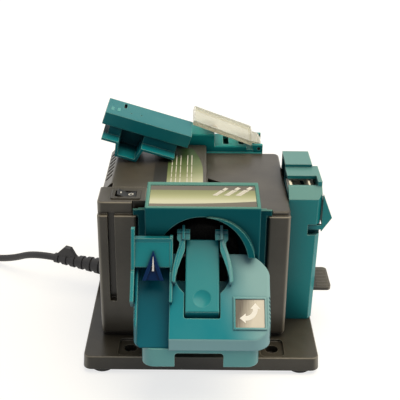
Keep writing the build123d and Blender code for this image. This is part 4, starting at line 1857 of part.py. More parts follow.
with BuildPart() as cord_boot:
    bar_x(BODY_LEFT - 3.0, BODY_LEFT - FIT, BOOT_Y, BOOT_Z, BOOT_R + 0.8)
    bar_x(BODY_LEFT - 1.0, IN_LEFT + 1.0, BOOT_Y, BOOT_Z, BOOT_NECK_R)
    bar_x(IN_LEFT + FIT, IN_LEFT + 2.5, BOOT_Y, BOOT_Z, BOOT_R)
    add(boot_taper.part.moved(Plane(origin=BOOT_START, x_dir=(0, 0, 1), z_dir=BOOT_DIR).location))
    lug_plane = Plane(origin=BOOT_START, x_dir=BOOT_DIR, z_dir=BOOT_DIR.cross(Vector(0, 0, 1)))
    with BuildSketch(lug_plane.offset(-BOOT_LUG_T / 2)):
        with BuildLine():
            Polyline(
                (BOOT_LUG_FROM, 0),
                (BOOT_LUG_FROM, 3.0),
                (BOOT_LUG_FROM + 0.3 * BOOT_LUG_LONG, BOOT_LUG_H - 0.5),
                (BOOT_LUG_FROM + 0.6 * BOOT_LUG_LONG, BOOT_LUG_H),
                (BOOT_LUG_FROM + BOOT_LUG_LONG, 5.5),
                (BOOT_LUG_FROM + BOOT_LUG_LONG, 0),
                close=True,
            )
        make_face()
    extrude(amount=BOOT_LUG_T)
cord_boot.part.label = "cord_boot"
export_step(cord_boot.part, "parts/cord_boot.step")

# Lead from the boot down to the table and on to the coil
COIL_Z1 = CORD_D / 2 + COIL_RAISE
COIL_Z2 = COIL_Z1 + COIL_PITCH
COIL_Z3 = COIL_Z2 + CORD_D / 2 + PLUG_H / 2 + 0.4
COIL_IN = Vector(COIL_X + CORD_D, COIL_Y - COIL_R_OUT, COIL_Z1)
tip = BOOT_START + BOOT_DIR * (BOOT_LONG + FIT)
route = [
    tip,
    tip + BOOT_DIR * 23.0,
    Vector(-182.0, 78.0, 12.5),
    Vector(-208.0, 93.5, 4.0),
    Vector(COIL_X + 36.0, COIL_Y - COIL_R_OUT, COIL_Z1),
    COIL_IN + Vector(FIT, 0, 0),
]
radii = []
for a, b, c in zip(route, route[1:], route[2:]):
    turn = math.radians((b - a).get_angle(c - b))
    radii.append(0.45 * min((b - a).length, (c - b).length) / math.tan(turn / 2))
with BuildPart() as mains_cord:
    with BuildLine() as lead_line:
        FilletPolyline(*route, radius=radii)
    with BuildSketch(Plane(origin=route[0], z_dir=BOOT_DIR)):
        Circle(CORD_D / 2)
    sweep()
mains_cord.part.label = "mains_cord"
export_step(mains_cord.part, "parts/mains_cord.step")
lead_long = lead_line.wire().length
print("lead radii", [round(r, 1) for r in radii])
print("lead runs", [round((b - a).length, 1) for a, b in zip(route, route[1:])])
print("lead volume over section times length", mains_cord.part.volume / (math.pi * CORD_D**2 / 4 * lead_long))


def coil_spot(s):
    """Centre of the lead in the coil after s turns."""
    last = 2 * COIL_TURNS
    if s <= COIL_TURNS - 0.25:
        r = COIL_R_OUT - COIL_PITCH * s
        z = COIL_Z1
    elif s <= COIL_TURNS + 0.25:
        x = s - COIL_TURNS + 0.25
        r = COIL_R_OUT - COIL_PITCH * (COIL_TURNS - 0.25) - COIL_PITCH * x + 2 * COIL_PITCH * x * x
        z = COIL_Z1 + COIL_PITCH * (3 * (2 * x) ** 2 - 2 * (2 * x) ** 3)
    elif s <= last:
        r = COIL_R_OUT - COIL_PITCH * (last - s)
        z = COIL_Z2
    else:
        x = s - last
        r = COIL_R_OUT + COIL_PITCH * (x - x * x)
        z = COIL_Z2 + (COIL_Z3 - COIL_Z2) * (3 * (2 * x) ** 2 - 2 * (2 * x) ** 3)
    turn = -math.pi / 2 - 2 * math.pi * s
    return Vector(COIL_X + r * math.cos(turn), COIL_Y + r * math.sin(turn), z)


def coil_way(s):
    """Direction of the lead in the coil after s turns."""
    if s == 0:
        return Vector(-1, 0, 0)
    if s == 2 * COIL_TURNS + 0.5:
        return Vector(1, 0, 0)
    return (coil_spot(s + 1e-4) - coil_spot(s - 1e-4)).normalized()


# Coil: one unbroken tube, two layers of loops, then up and over to the plug lying on top
STEPS = 4 * (2 * COIL_TURNS) + 2
coil_end = coil_spot(STEPS / 4)
BEND = 27.0
bend_mid = coil_end + Vector(BEND * math.sqrt(0.5), -BEND * (1 - math.sqrt(0.5)), 0)
bend_end = coil_end + Vector(BEND, -BEND, 0)
PLUG_AT = bend_end + Vector(0, -CORD_D, 0)
with BuildPart() as cord_coil:
    with BuildLine() as coil_line:
        Line(COIL_IN, coil_spot(0))
        for i in range(STEPS):
            p1 = coil_spot(i / 4)
            p2 = coil_spot((i + 1) / 4)
            t1 = coil_way(i / 4)
            t2 = coil_way((i + 1) / 4)
            v = p2 - p1
            t = t1 + t2
            flat = 2 * (1 - t1.dot(t2))
            d = (-v.dot(t) + math.sqrt(v.dot(t) ** 2 + flat * v.dot(v))) / flat
            pm = (p1 + p2 + (t1 - t2) * d) / 2
            tm = ((p2 - t2 * d) - (p1 + t1 * d)).normalized()
            TangentArc(p1, pm, tangent=t1)
            TangentArc(pm, p2, tangent=tm)
        ThreePointArc(coil_end, bend_mid, bend_end)
        Line(bend_end, PLUG_AT)
    with BuildSketch(Plane(origin=COIL_IN, z_dir=(-1, 0, 0))):
        Circle(CORD_D / 2)
    sweep()
cord_coil.part.label = "cord_coil"
export_step(cord_coil.part, "parts/cord_coil.step")
coil_long = coil_line.wire().length
print("coil length", round(coil_long), "lead and coil", round(coil_long + lead_long))
print("coil volume over section times length", cord_coil.part.volume / (math.pi * CORD_D**2 / 4 * coil_long))
coil_wire = coil_line.wire()
spots = [coil_wire.position_at(i / 1600) for i in range(1601)]
skip = int(1600 * 4 * CORD_D / coil_long)
least = min((spots[i] - spots[j]).length for i in range(0, 1601, 2) for j in range(i + skip, 1601, 2))
print("least gap of the coil to itself", round(least - CORD_D, 3))

# Strap round the back of the coil
TIE_IN = COIL_R_OUT - (COIL_TURNS - 0.5) * COIL_PITCH - CORD_D / 2 - 0.8 - TIE_GAP
TIE_OUT = COIL_R_OUT - 0.5 * COIL_PITCH + CORD_D / 2 + 0.3 + TIE_GAP
TIE_LOW = COIL_Z1 - CORD_D / 2 - TIE_GAP
TIE_HIGH = COIL_Z2 + CORD_D / 2 + TIE_GAP
with BuildPart() as cord_tie:
    with BuildSketch(Plane.YZ.offset(COIL_X - TIE_W / 2)):
        with Locations((COIL_Y + (TIE_IN + TIE_OUT) / 2, (TIE_LOW + TIE_HIGH) / 2)):
            RectangleRounded(TIE_OUT - TIE_IN + 2 * TIE_T, TIE_HIGH - TIE_LOW + 2 * TIE_T, 1.5)
            RectangleRounded(TIE_OUT - TIE_IN, TIE_HIGH - TIE_LOW, 0.6, mode=Mode.SUBTRACT)
    extrude(amount=TIE_W)
cord_tie.part.label = "cord_tie"
export_step(cord_tie.part, "parts/cord_tie.step")

# Plug: a moulded two-pin body, narrow where the lead enters
PLUG_BACK = PLUG_AT + Vector(0, -FIT, 0)
with BuildPart() as plug_body:
    for far, wide, tall, corner in ((0, 13.0, 11.0, 4.5), (15, PLUG_W, PLUG_H, 7.0)):
        spot = PLUG_BACK + Vector(0, -far, 0)
        with BuildSketch(Plane(origin=spot, x_dir=(1, 0, 0), z_dir=(0, -1, 0))):
            RectangleRounded(wide, tall, corner)
    loft()
    with BuildSketch(Plane(origin=PLUG_BACK + Vector(0, -15, 0), x_dir=(1, 0, 0), z_dir=(0, -1, 0))):
        RectangleRounded(PLUG_W, PLUG_H, 7.0)
    extrude(amount=PLUG_LONG - 15)
    fillet(plug_body.faces().sort_by(Axis.Y)[0].edges(), 1.2)
plug_body.part.label = "plug_body"
export_step(plug_body.part, "parts/plug_body.step")

# Plug pins
PLUG_FACE = PLUG_BACK.Y - PLUG_LONG - FIT
with BuildPart() as plug_pins:
    for side in (-1, 1):
        x = PLUG_BACK.X + side * PLUG_PIN_APART / 2
        bar_y(PLUG_FACE - PLUG_PIN_LONG, PLUG_FACE, x, PLUG_BACK.Z, PLUG_PIN_R)
    fillet(plug_pins.edges().group_by(Axis.Y)[0], 1.2)
plug_pins.part.label = "plug_pins"
export_step(plug_pins.part, "parts/plug_pins.step")
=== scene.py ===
# %% [markdown]
# # A bench-top tool sharpener, dressed
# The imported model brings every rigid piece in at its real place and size. This lesson adds what a model
# of solids lacks: the camera, the light, the mains lead as one smooth line, the stickers, and a finish
# for every surface. All lengths below are written in millimetres and turned into metres by `mm`.

# %% Load the frame
import math

import bmesh
import bpy
from mathutils import Matrix, Vector
from mathutils.bvhtree import BVHTree


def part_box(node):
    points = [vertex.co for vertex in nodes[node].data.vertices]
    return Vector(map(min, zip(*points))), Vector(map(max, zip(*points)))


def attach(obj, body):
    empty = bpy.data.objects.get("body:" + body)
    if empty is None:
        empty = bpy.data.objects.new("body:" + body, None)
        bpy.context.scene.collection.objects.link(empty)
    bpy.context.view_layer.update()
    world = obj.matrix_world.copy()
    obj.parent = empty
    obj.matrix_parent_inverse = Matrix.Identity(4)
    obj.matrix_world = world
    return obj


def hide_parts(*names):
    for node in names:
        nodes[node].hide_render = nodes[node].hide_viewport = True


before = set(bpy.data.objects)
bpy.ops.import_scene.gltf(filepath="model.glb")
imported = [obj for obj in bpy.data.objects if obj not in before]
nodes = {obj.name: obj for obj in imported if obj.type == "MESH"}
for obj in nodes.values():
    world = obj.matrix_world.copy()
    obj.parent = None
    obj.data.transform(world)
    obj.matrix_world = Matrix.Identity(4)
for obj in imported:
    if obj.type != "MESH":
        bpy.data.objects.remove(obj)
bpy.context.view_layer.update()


def mm(*values):
    """Millimetres to metres: one value gives a number, three give a point."""
    if len(values) == 1:
        return values[0] / 1000
    return Vector([v / 1000 for v in values])


def in_mm(point):
    """A point in millimetres, rounded for printing."""
    return [round(v * 1000, 1) for v in point]


def show(name, data):
    """Puts a mesh, curve, lamp or camera into the scene as an object."""
    made = bpy.data.objects.new(name, data)
    bpy.context.scene.collection.objects.link(made)
    return made


# %% [markdown]
# ## The camera
# The photograph was taken from the front, a little above the object, with a fairly long lens. A camera can
# be aimed by a Track To constraint, but that leaves out the roll. Here its place and its three turns were
# solved from the edges of the base and the body, so it is built straight from them. A camera looks along
# its own -Z, with +Y up.

# %% Camera
CAMERA_AT = mm(-4.13, -646.5, 410.5)
CAMERA_YAW = math.radians(-0.2)
CAMERA_PITCH = math.radians(24.77)
CAMERA_ROLL = math.radians(-0.58)
IMAGE_SIDE = 400
FOCAL_PIXELS = 852.2
SENSOR = 36.0

level_right = Vector((math.cos(CAMERA_YAW), math.sin(CAMERA_YAW), 0))
ahead = Vector((-math.sin(CAMERA_YAW), math.cos(CAMERA_YAW), 0))
up = Vector((0, 0, 1))
level_up = ahead * math.sin(CAMERA_PITCH) + up * math.cos(CAMERA_PITCH)
look = ahead * math.cos(CAMERA_PITCH) - up * math.sin(CAMERA_PITCH)
right = level_right * math.cos(CAMERA_ROLL) - level_up * math.sin(CAMERA_ROLL)
top = level_right * math.sin(CAMERA_ROLL) + level_up * math.cos(CAMERA_ROLL)

camera = show("camera", bpy.data.cameras.new("camera"))
camera.data.sensor_fit = "HORIZONTAL"
camera.data.sensor_width = SENSOR
camera.data.lens = FOCAL_PIXELS / IMAGE_SIDE * SENSOR
camera.data.clip_start = mm(10)
turned = Matrix((right, top, -look)).transposed().to_4x4()
camera.matrix_world = Matrix.Translation(CAMERA_AT) @ turned
bpy.context.scene.camera = camera
print("lens", round(camera.data.lens, 1), "mm")

# %% [markdown]
# ## One way to add a node
# Every material below is a small tree of nodes. `put` adds a node with its settings, and `feed` fills its
# inputs with a value, with a link from an output, or with a link from another node's first usable output.
# Colours are written as the hex values that one reads off a screen, and turned to the linear values that
# the renderer works in.


# %% Node and colour helpers
def linear(code):
    """An sRGB hex colour as linear red, green, blue and alpha."""
    parts = [int(code[i : i + 2], 16) / 255 for i in (0, 2, 4)]
    return (*[c / 12.92 if c <= 0.04045 else ((c + 0.055) / 1.055) ** 2.4 for c in parts], 1.0)


def feed(tree, node, inputs):
    """Fills a node's inputs, by socket name or number, with values, outputs or other nodes."""
    for name, value in inputs.items():
        if isinstance(value, bpy.types.Node):
            value = next(output for output in value.outputs if output.enabled)
        if isinstance(value, bpy.types.NodeSocket):
            tree.links.new(value, node.inputs[name])
        else:
            node.inputs[name].default_value = value


def put(tree, kind, inputs=None, **settings):
    """Adds one node: settings are its own properties, and inputs are fed as above."""
    made = tree.nodes.new(kind)
    for name, value in settings.items():
        setattr(made, name, value)
    feed(tree, made, inputs or {})
    return made


def start_material(name):
    """An empty material with a Principled shader wired to its output, and Object coordinates to read."""
    material = bpy.data.materials.new(name)
    material.use_nodes = True
    tree = material.node_tree
    tree.nodes.clear()
    shader = put(tree, "ShaderNodeBsdfPrincipled")
    put(tree, "ShaderNodeOutputMaterial", {"Surface": shader})
    place = put(tree, "ShaderNodeTexCoord").outputs["Object"]
    return material, tree, shader, place


def per_mm(size):
    """Texture scale at which one cell of a pattern is about this many millimetres."""
    return 1000.0 / size


print("white is", linear("ffffff"))

# %% [markdown]
# ## The mains lead
# A round PVC lead leaves the ribbed boot, sinks to the table and runs out of the picture to the left. The
# rest of its length is wound into a flat coil of two layers and tied, with the plug lying on top. A lead
# has stiffness, so its line has no corners. A Bezier curve would need two handles at each point; a NURBS
# curve takes the points as control points and rounds every one of them. The coil's turns are more control
# points of the same line, sixteen to a turn.

# %% Route of the lead
LEAD_DIAMETER = mm(6.5)
LEAD_ROUTE = [
    mm(-136.24, 54.01, 27.0),
    mm(-157.87, 61.84, 27.0),
    mm(-182.0, 78.0, 12.5),
    mm(-208.0, 93.5, 4.0),
    mm(-234.0, 107.8, 4.75),
    mm(-263.5, 107.8, 4.75),
]
PLUG_ROUTE = [mm(-258.8, 206.0, 25.6), mm(-243.0, 190.2, 25.6), mm(-243.0, 172.5, 25.6)]
COIL_CENTRE = mm(-270.0, 156.0, 0)
COIL_RADIUS = mm(48.2)
COIL_PITCH = mm(7.2)
COIL_TURNS = 3
COIL_CLIMB = 0.25  # turns on each side of the middle, in which it climbs a layer
COIL_LEAVES = 0.5  # turns in which it rises to the plug
COIL_LOW = mm(4.75)
COIL_HIGH = mm(25.6)
COIL_STEPS = 16


def ease(t):
    """A smooth rise from 0 to 1."""
    return 3 * t * t - 2 * t * t * t


def coil_point(turns):
    """Control point of the coil after so many turns: in to the middle below, then out again above."""
    layer_two = COIL_LOW + COIL_PITCH
    both = 2 * COIL_TURNS
    if turns <= COIL_TURNS - COIL_CLIMB:
        radius, height = COIL_RADIUS - COIL_PITCH * turns, COIL_LOW
    elif turns <= COIL_TURNS + COIL_CLIMB:
        t = turns - COIL_TURNS + COIL_CLIMB
        radius = COIL_RADIUS - COIL_PITCH * (COIL_TURNS - COIL_CLIMB + t - 2 * t * t)
        height = COIL_LOW + COIL_PITCH * ease(2 * t)
    elif turns <= both:
        radius, height = COIL_RADIUS - COIL_PITCH * (both - turns), layer_two
    else:
        t = turns - both
        radius = COIL_RADIUS + COIL_PITCH * (t - t * t)
        height = layer_two + (COIL_HIGH - layer_two) * ease(2 * t)
    angle = -math.pi / 2 - 2 * math.pi * turns
    reach = radius / math.cos(math.pi / COIL_STEPS)
    return COIL_CENTRE + Vector((reach * math.cos(angle), reach * math.sin(angle), height))


coil_count = int((2 * COIL_TURNS + COIL_LEAVES) * COIL_STEPS)
coil = [coil_point((i + 0.5) / COIL_STEPS) for i in range(coil_count)]
lead_points = LEAD_ROUTE + coil + PLUG_ROUTE
print("control points of the lead", len(lead_points))

# %% [markdown]
# The spline's order and end rule are set after its points are added, because a new spline cannot take an
# order above its number of points. The thickness sits in the points' radius and the bevel depth is 1,
# because Blender pads a curve's box by that radius: left at its usual 1, it would make the lead look two
# metres wide.

# %% Lead as one curve
lead_line = bpy.data.curves.new("mains_lead", "CURVE")
lead_line.dimensions = "3D"
spline = lead_line.splines.new("NURBS")
spline.points.add(len(lead_points) - 1)
for point, spot in zip(spline.points, lead_points):
    point.co = (*spot, 1.0)
    point.radius = LEAD_DIAMETER / 2
spline.order_u = 3
spline.use_endpoint_u = True
spline.resolution_u = 8
lead_line.bevel_depth = 1.0
lead_line.bevel_resolution = 4
lead_line.use_fill_caps = True
mains_lead = show("mains_lead", lead_line)
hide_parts("mains_cord", "cord_coil")
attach(mains_lead, "machine")

# %% [markdown]
# ## Floor and light
# The object stands on white paper under a warm, soft lamp from above. Its fronts are lit mostly by what
# the paper throws back, a little cooler than the lamp, so they are about half as bright as its tops. Low
# fronts are brighter than high ones because the sheet that throws light back is small. A wide, soft sun
# lights the whole floor evenly, where a lamp would fade towards the back, and a dim sky fills the shade.
# What the eye, the shiny pieces and the clear guard see of the paper is mostly a white of its own, so it
# stays white; the rest of it still takes the shadow.

# %% Floor
FLOOR_HALF = mm(6000)
SHEET_NEAR = mm(260)
SHEET_FAR = mm(500)
PAPER_BOUNCE = 0.9
FAR_BOUNCE = 0.1
PAPER_SHADE = 0.36
OWN_WHITE = 0.74
PAPER_LOOKS = "fdfdfc"
PAPER_THROWS = "e0eaff"


def seen_directly(tree):
    """1 for camera, glossy and transmission rays, 0 for the rays that carry light from face to face."""
    rays = put(tree, "ShaderNodeLightPath").outputs
    eye = {0: rays["Is Camera Ray"], 1: rays["Is Glossy Ray"]}
    both = {0: put(tree, "ShaderNodeMath", eye, operation="MAXIMUM"), 1: rays["Is Transmission Ray"]}
    return put(tree, "ShaderNodeMath", both, operation="MAXIMUM")


floor_mesh = bpy.data.meshes.new("paper_floor")
floor_corners = [(x * FLOOR_HALF, y * FLOOR_HALF, 0) for x, y in ((-1, -1), (1, -1), (1, 1), (-1, 1))]
floor_mesh.from_pydata(floor_corners, [], [(0, 1, 2, 3)])
paper_floor = show("paper_floor", floor_mesh)
paper, tree, shader, place = start_material("white_paper")
seen = seen_directly(tree)
away = put(tree, "ShaderNodeVectorMath", {0: place}, operation="LENGTH")
fade = {"Value": away, "From Min": SHEET_NEAR, "From Max": SHEET_FAR}
sheet = put(tree, "ShaderNodeMapRange", {**fade, "To Min": PAPER_BOUNCE, "To Max": FAR_BOUNCE})
bounce = put(tree, "ShaderNodeMapRange", {"Value": seen, "To Min": sheet, "To Max": PAPER_SHADE})
own_white = put(tree, "ShaderNodeMapRange", {"Value": seen, "To Max": OWN_WHITE})
paper_ends = {0: seen, 6: linear(PAPER_THROWS), 7: linear(PAPER_LOOKS)}
paper_tint = put(tree, "ShaderNodeMix", paper_ends, data_type="RGBA")
tint = put(tree, "ShaderNodeMix", {0: bounce, 6: (0, 0, 0, 1), 7: paper_tint}, data_type="RGBA")
feed(tree, shader, {"Base Color": tint, "Roughness": 0.9, "Specular IOR Level": 0.0})
feed(tree, shader, {"Emission Color": linear("ffffff"), "Emission Strength": own_white})
floor_mesh.materials.append(paper)
print("floor", 2 * FLOOR_HALF, "m wide")

# %% Sky and sun
SKY_FILL = 0.25
SUN_STRENGTH = 2.9
SUN_COLOUR = "fff0d2"
SUN_SPREAD = math.radians(60)
SUN_FROM = Vector((0.34, -0.03, 1.0))

world = bpy.data.worlds.new("soft_sky")
bpy.context.scene.world = world
world.use_nodes = True
sky = world.node_tree
sky.nodes.clear()
level = put(sky, "ShaderNodeMapRange", {"Value": seen_directly(sky), "To Min": SKY_FILL, "To Max": 1.0})
glow = put(sky, "ShaderNodeBackground", {"Color": linear("ffffff"), "Strength": level})
put(sky, "ShaderNodeOutputWorld", {"Surface": glow})

sun = show("soft_sun", bpy.data.lights.new("soft_sun", "SUN"))
sun.data.energy = SUN_STRENGTH
sun.data.color = linear(SUN_COLOUR)[:3]
sun.data.angle = SUN_SPREAD
sun.rotation_euler = (-SUN_FROM).to_track_quat("-Z", "Y").to_euler()
bpy.context.scene.view_settings.view_transform = "Standard"
print("sun", SUN_STRENGTH, "sky", SKY_FILL)

# %% [markdown]
# ## Moulded plastic
# The grey housing and the teal stations are injection-moulded ABS. The tool that moulds it is
# spark-eroded, so the skin has a fine even grain and a satin gloss. Real grain is about 0.2 mm, too fine
# for the picture, so it is drawn a few times coarser. Four things change that skin:
# - The edges are painted paler, a painted highlight. A Bevel node finds them: where its rounded normal
#   leaves the true one there is an edge, and the same rounded normal softens it in the light. Corners with
#   a moulded radius have no sharp edge, so on the housing and the base their painted highlight is found by
#   a normal that follows none of the axes.
# - Shade is painted into the deep corners, which an Ambient Occlusion node finds.
# - The turret's faces that look forward, down and to the right are paler with dust and a painted sheen,
#   and its right half with dust and painted light. The tops of the drill station's frame are paler with
#   painted top light, and those of the chisel station with dust and painted top light.
# - Shade is painted into the turret's trough, between two planes.

# %% Edges, dust and oil
# A span says where a pattern starts and where it is full; for edges, sides and tops it is in cosines.
EDGE_RADIUS = mm(1.1)
EDGE_SPAN = (0.99, 0.75)
CORNER_SPAN = (0.96, 0.78)
# Turret: dust and painted sheen facing forward, down and right, dust and painted light on its right half.
DUST_AND_SHEEN_SHARE = 0.95
DUST_AND_SHEEN_SIDE = Vector((0.45, -0.75, -0.48))
DUST_AND_SHEEN_SPAN = (0.25, 0.5)
DUST_AND_LIGHT_WAY = Vector((1.0, 0.43, 0.0))
DUST_AND_LIGHT_SPAN = (mm(-46.7), mm(-8.7))
# Dust and painted top light on upward faces.
TOP_SPAN = (0.6, 0.85)
# Painted shade in the turret's trough: how much colour is left, and how wide its border is.
TROUGH_SHADE_LEFT = 0.12
TROUGH_SHADE_FADE = 0.3


def edge_share(tree, radius, span, most=1.0):
    """A rounded normal, and how much of an edge a place is: 0 on a flat face, at most `most`."""
    soft_side = put(tree, "ShaderNodeBevel", {"Radius": radius}, samples=4)
    sides = {0: soft_side, 1: put(tree, "ShaderNodeNewGeometry").outputs["Normal"]}
    alike = put(tree, "ShaderNodeVectorMath", sides, operation="DOT_PRODUCT")
    fade = {"Value": alike, "From Min": span[0], "From Max": span[1], "To Max": most}
    return soft_side, put(tree, "ShaderNodeMapRange", fade)


def bent_corner(tree, side, most):
    """How far a normal leaves the three axes, which it does on a moulded radius."""
    size = put(tree, "ShaderNodeVectorMath", {0: side}, operation="ABSOLUTE")
    way = put(tree, "ShaderNodeSeparateXYZ", {0: size}).outputs
    flat = put(tree, "ShaderNodeMath", {0: way["X"], 1: way["Y"]}, operation="MAXIMUM")
    flat = put(tree, "ShaderNodeMath", {0: flat, 1: way["Z"]}, operation="MAXIMUM")
    fade = {"Value": flat, "From Min": CORNER_SPAN[0], "From Max": CORNER_SPAN[1], "To Max": most}
    return put(tree, "ShaderNodeMapRange", fade)


def turret_dust_and_sheen(tree, place, side):
    """Dust and painted sheen facing forward, down and right; dust and painted light on the right half."""
    facing = put(tree, "ShaderNodeVectorMath", {0: side, 1: DUST_AND_SHEEN_SIDE}, operation="DOT_PRODUCT")
    clings = {"Value": facing, "From Min": DUST_AND_SHEEN_SPAN[0], "From Max": DUST_AND_SHEEN_SPAN[1], "To Max": DUST_AND_SHEEN_SHARE}
    dust_and_sheen_share = put(tree, "ShaderNodeMapRange", clings)
    across = put(tree, "ShaderNodeVectorMath", {0: place, 1: DUST_AND_LIGHT_WAY}, operation="DOT_PRODUCT")
    blown = {"Value": across, "From Min": DUST_AND_LIGHT_SPAN[0], "From Max": DUST_AND_LIGHT_SPAN[1]}
    dust_and_light_share = put(tree, "ShaderNodeMapRange", blown, interpolation_type="SMOOTHSTEP")
    return put(tree, "ShaderNodeMath", {0: dust_and_sheen_share, 1: dust_and_light_share}, operation="MAXIMUM")


def top_dust_and_light(tree, side, share):
    """Dust and painted top light on whatever faces up."""
    upward = put(tree, "ShaderNodeSeparateXYZ", {0: side}).outputs["Z"]
    lying = {"Value": upward, "From Min": TOP_SPAN[0], "From Max": TOP_SPAN[1], "To Max": share}
    return put(tree, "ShaderNodeMapRange", lying)


def outside_trough_shade(tree, place, left, right):
    """How far a place is from the painted trough shade: low between two planes across x, 1 outside them."""
    half = (right - left) / 2
    middle = {0: place, 1: mm((left + right) / 2, 0, 0)}
    from_middle = put(tree, "ShaderNodeVectorMath", middle, operation="SUBTRACT")
    side = put(tree, "ShaderNodeSeparateXYZ", {0: from_middle}).outputs["X"]
    away = put(tree, "ShaderNodeMath", {0: side}, operation="ABSOLUTE")
    rise = {"Value": away, "From Min": mm(half - TROUGH_SHADE_FADE), "From Max": mm(half), "To Min": TROUGH_SHADE_LEFT}
    return put(tree, "ShaderNodeMapRange", rise)


# How far the dust and painted light spread across the turret.
print("dust drifts over", in_mm(DUST_AND_LIGHT_SPAN), "mm")

# %% [markdown]
# The solids keep their shape; each one only takes a better material. So every function below that makes
# a finish is first told which solids wear it, and `dress` puts it on them and keeps count.

# %% Moulded skin
CLOUD_MM = 35.0
CLOUD_SPAN = (0.3, 0.7)
# Painted shade in deep corners: where it starts and is full, and how much colour is left.
PAINTED_SHADE_SPAN = (0.35, 0.95)
PAINTED_SHADE_LEFT = 0.1
ABS_GLOSS = (-0.06, 0.08)
ABS_IOR = 1.53
GRAIN_DEPTH = mm(0.03)
dressed = set()


def dress(names, material):
    """Gives the solids of these names a finish in place of their plain one."""
    for name in names.split():
        nodes[name].data.materials.clear()
        nodes[name].data.materials.append(material)
        dressed.add(name)
    return material


def moulded_plastic(
    names, finish, colour, cloud_and_highlight, painted_shade_colour, grain_mm, rough, shine=0.35, edge_highlight=0.6, reach=22.0, cloudy=0.15,
    corner_highlight=0.0, trough_shade=None, dust=None, tops=None,
):
    """A satin moulded skin: grain in bump and gloss, faint clouds, painted edge highlights and corner shade.
    """
    material, tree, shader, place = start_material(finish)
    side = put(tree, "ShaderNodeTexCoord").outputs["Normal"]
    # Painted highlight: edges are painted paler, and on the housing and base the moulded corners too.
    round_edge, painted_edge_highlight = edge_share(tree, EDGE_RADIUS, EDGE_SPAN, edge_highlight)
    if corner_highlight:
        bent = bent_corner(tree, side, corner_highlight)
        painted_edge_highlight = put(tree, "ShaderNodeMath", {0: painted_edge_highlight, 1: bent}, operation="MAXIMUM")
    cloud = put(tree, "ShaderNodeTexNoise", {"Vector": place, "Scale": per_mm(CLOUD_MM), "Detail": 3.0})
    faint = {"Value": cloud, "From Min": CLOUD_SPAN[0], "From Max": CLOUD_SPAN[1], "To Max": cloudy}
    shade = put(tree, "ShaderNodeMapRange", faint)
    skin = put(tree, "ShaderNodeMix", {0: shade, 6: linear(colour), 7: linear(cloud_and_highlight)}, data_type="RGBA")
    # The painted edge highlight goes into the colour here.
    skin = put(tree, "ShaderNodeMix", {0: painted_edge_highlight, 6: skin, 7: linear(cloud_and_highlight)}, data_type="RGBA")
    # Dust and painted sheen, and dust and painted light on the right half, on the turret.
    if dust:
        dust_and_light_coat = {0: turret_dust_and_sheen(tree, place, side), 6: skin, 7: linear(dust)}
        skin = put(tree, "ShaderNodeMix", dust_and_light_coat, data_type="RGBA")
    # Dust and painted top light on upward faces.
    if tops:
        dust_and_light_coat = {0: top_dust_and_light(tree, side, tops[0]), 6: skin, 7: linear(tops[1])}
        skin = put(tree, "ShaderNodeMix", dust_and_light_coat, data_type="RGBA")
    # Painted shade: corners that Ambient Occlusion finds within `reach` are darkened towards the shade
    # colour.
    open_sky = put(tree, "ShaderNodeAmbientOcclusion", {"Distance": mm(reach)}, samples=6).outputs["AO"]
    painted_shade = {"Value": open_sky, "From Min": PAINTED_SHADE_SPAN[0], "From Max": PAINTED_SHADE_SPAN[1], "To Min": PAINTED_SHADE_LEFT}
    unshaded = put(tree, "ShaderNodeMapRange", painted_shade)
    # Painted shade in the turret's trough.
    if trough_shade:
        outside_shade = outside_trough_shade(tree, place, *trough_shade)
        unshaded = put(tree, "ShaderNodeMath", {0: unshaded, 1: outside_shade}, operation="MULTIPLY")
    skin = put(tree, "ShaderNodeMix", {0: unshaded, 6: linear(painted_shade_colour), 7: skin}, data_type="RGBA")
    grain = put(tree, "ShaderNodeTexNoise", {"Vector": place, "Scale": per_mm(grain_mm), "Detail": 2.0})
    satin = {"Value": grain, "To Min": rough + ABS_GLOSS[0], "To Max": rough + ABS_GLOSS[1]}
    gloss = put(tree, "ShaderNodeMapRange", satin)
    dents = {"Height": grain, "Strength": 0.5, "Distance": GRAIN_DEPTH, "Normal": round_edge}
    bump = put(tree, "ShaderNodeBump", dents)
    feed(tree, shader, {"Base Color": skin, "Roughness": gloss, "Normal": bump})
    feed(tree, shader, {"IOR": ABS_IOR, "Specular IOR Level": shine})
    return dress(names, material)


print("a moulded skin has grain", GRAIN_DEPTH * 1000, "mm deep")

# %% [markdown]
# Each skin is written as its colour, the colour of its painted edge highlights, the colour of the painted
# shade in its deep corners, the size of its grain and its roughness. The teal pieces share one plastic and
# differ in gloss and in painted light and shade: the frame is matt and a darker copy as painted shade, with
# painted top light; the blade guide is a darker copy as painted shade; the turret is paled by dust and a
# painted sheen; its glossy skirt is a paler copy as a painted reflection; and the clamp strip gets little
# painted shade in its corners.

# %% Plastics
GREY = ("3a362f", "a29c8e", "1e1b17", 0.9, 0.3)
BASE_GREY = ("36332d", "938d80", "1b1915", 0.9, 0.3)
TEAL = ("028a96", "a4e2d8", "013a48", 0.9, 0.34)
STATION_TEAL = ("06949a", "a4e2d8", "013f4c", 0.9, 0.34)
# Painted shade: the frame's and the blade guide's teal are darker copies.
SHADED_FRAME_TEAL = ("016570", "9adcd2", "01303d", 0.9, 0.38)
SHADED_GUIDE_TEAL = ("017480", "9adcd2", "01303d", 0.9, 0.38)
TURRET_TEAL = ("14899c", "9adcd2", "015a70", 0.9, 0.33)
# Painted reflection: the skirt's teal is a paler copy.
SHEEN_SKIRT_TEAL = ("429a9e", "a8dcd2", "015a70", 0.9, 0.33)
NAVY = ("022858", "2b5c9e", "02102c", 0.9, 0.3)
# Where the turret's trough lies across x, for its painted shade.
TROUGH = (-46.6, -23.4)
# Colour of the turret's dust and painted sheen.
TURRET_DUST_AND_SHEEN = "93bfc6"
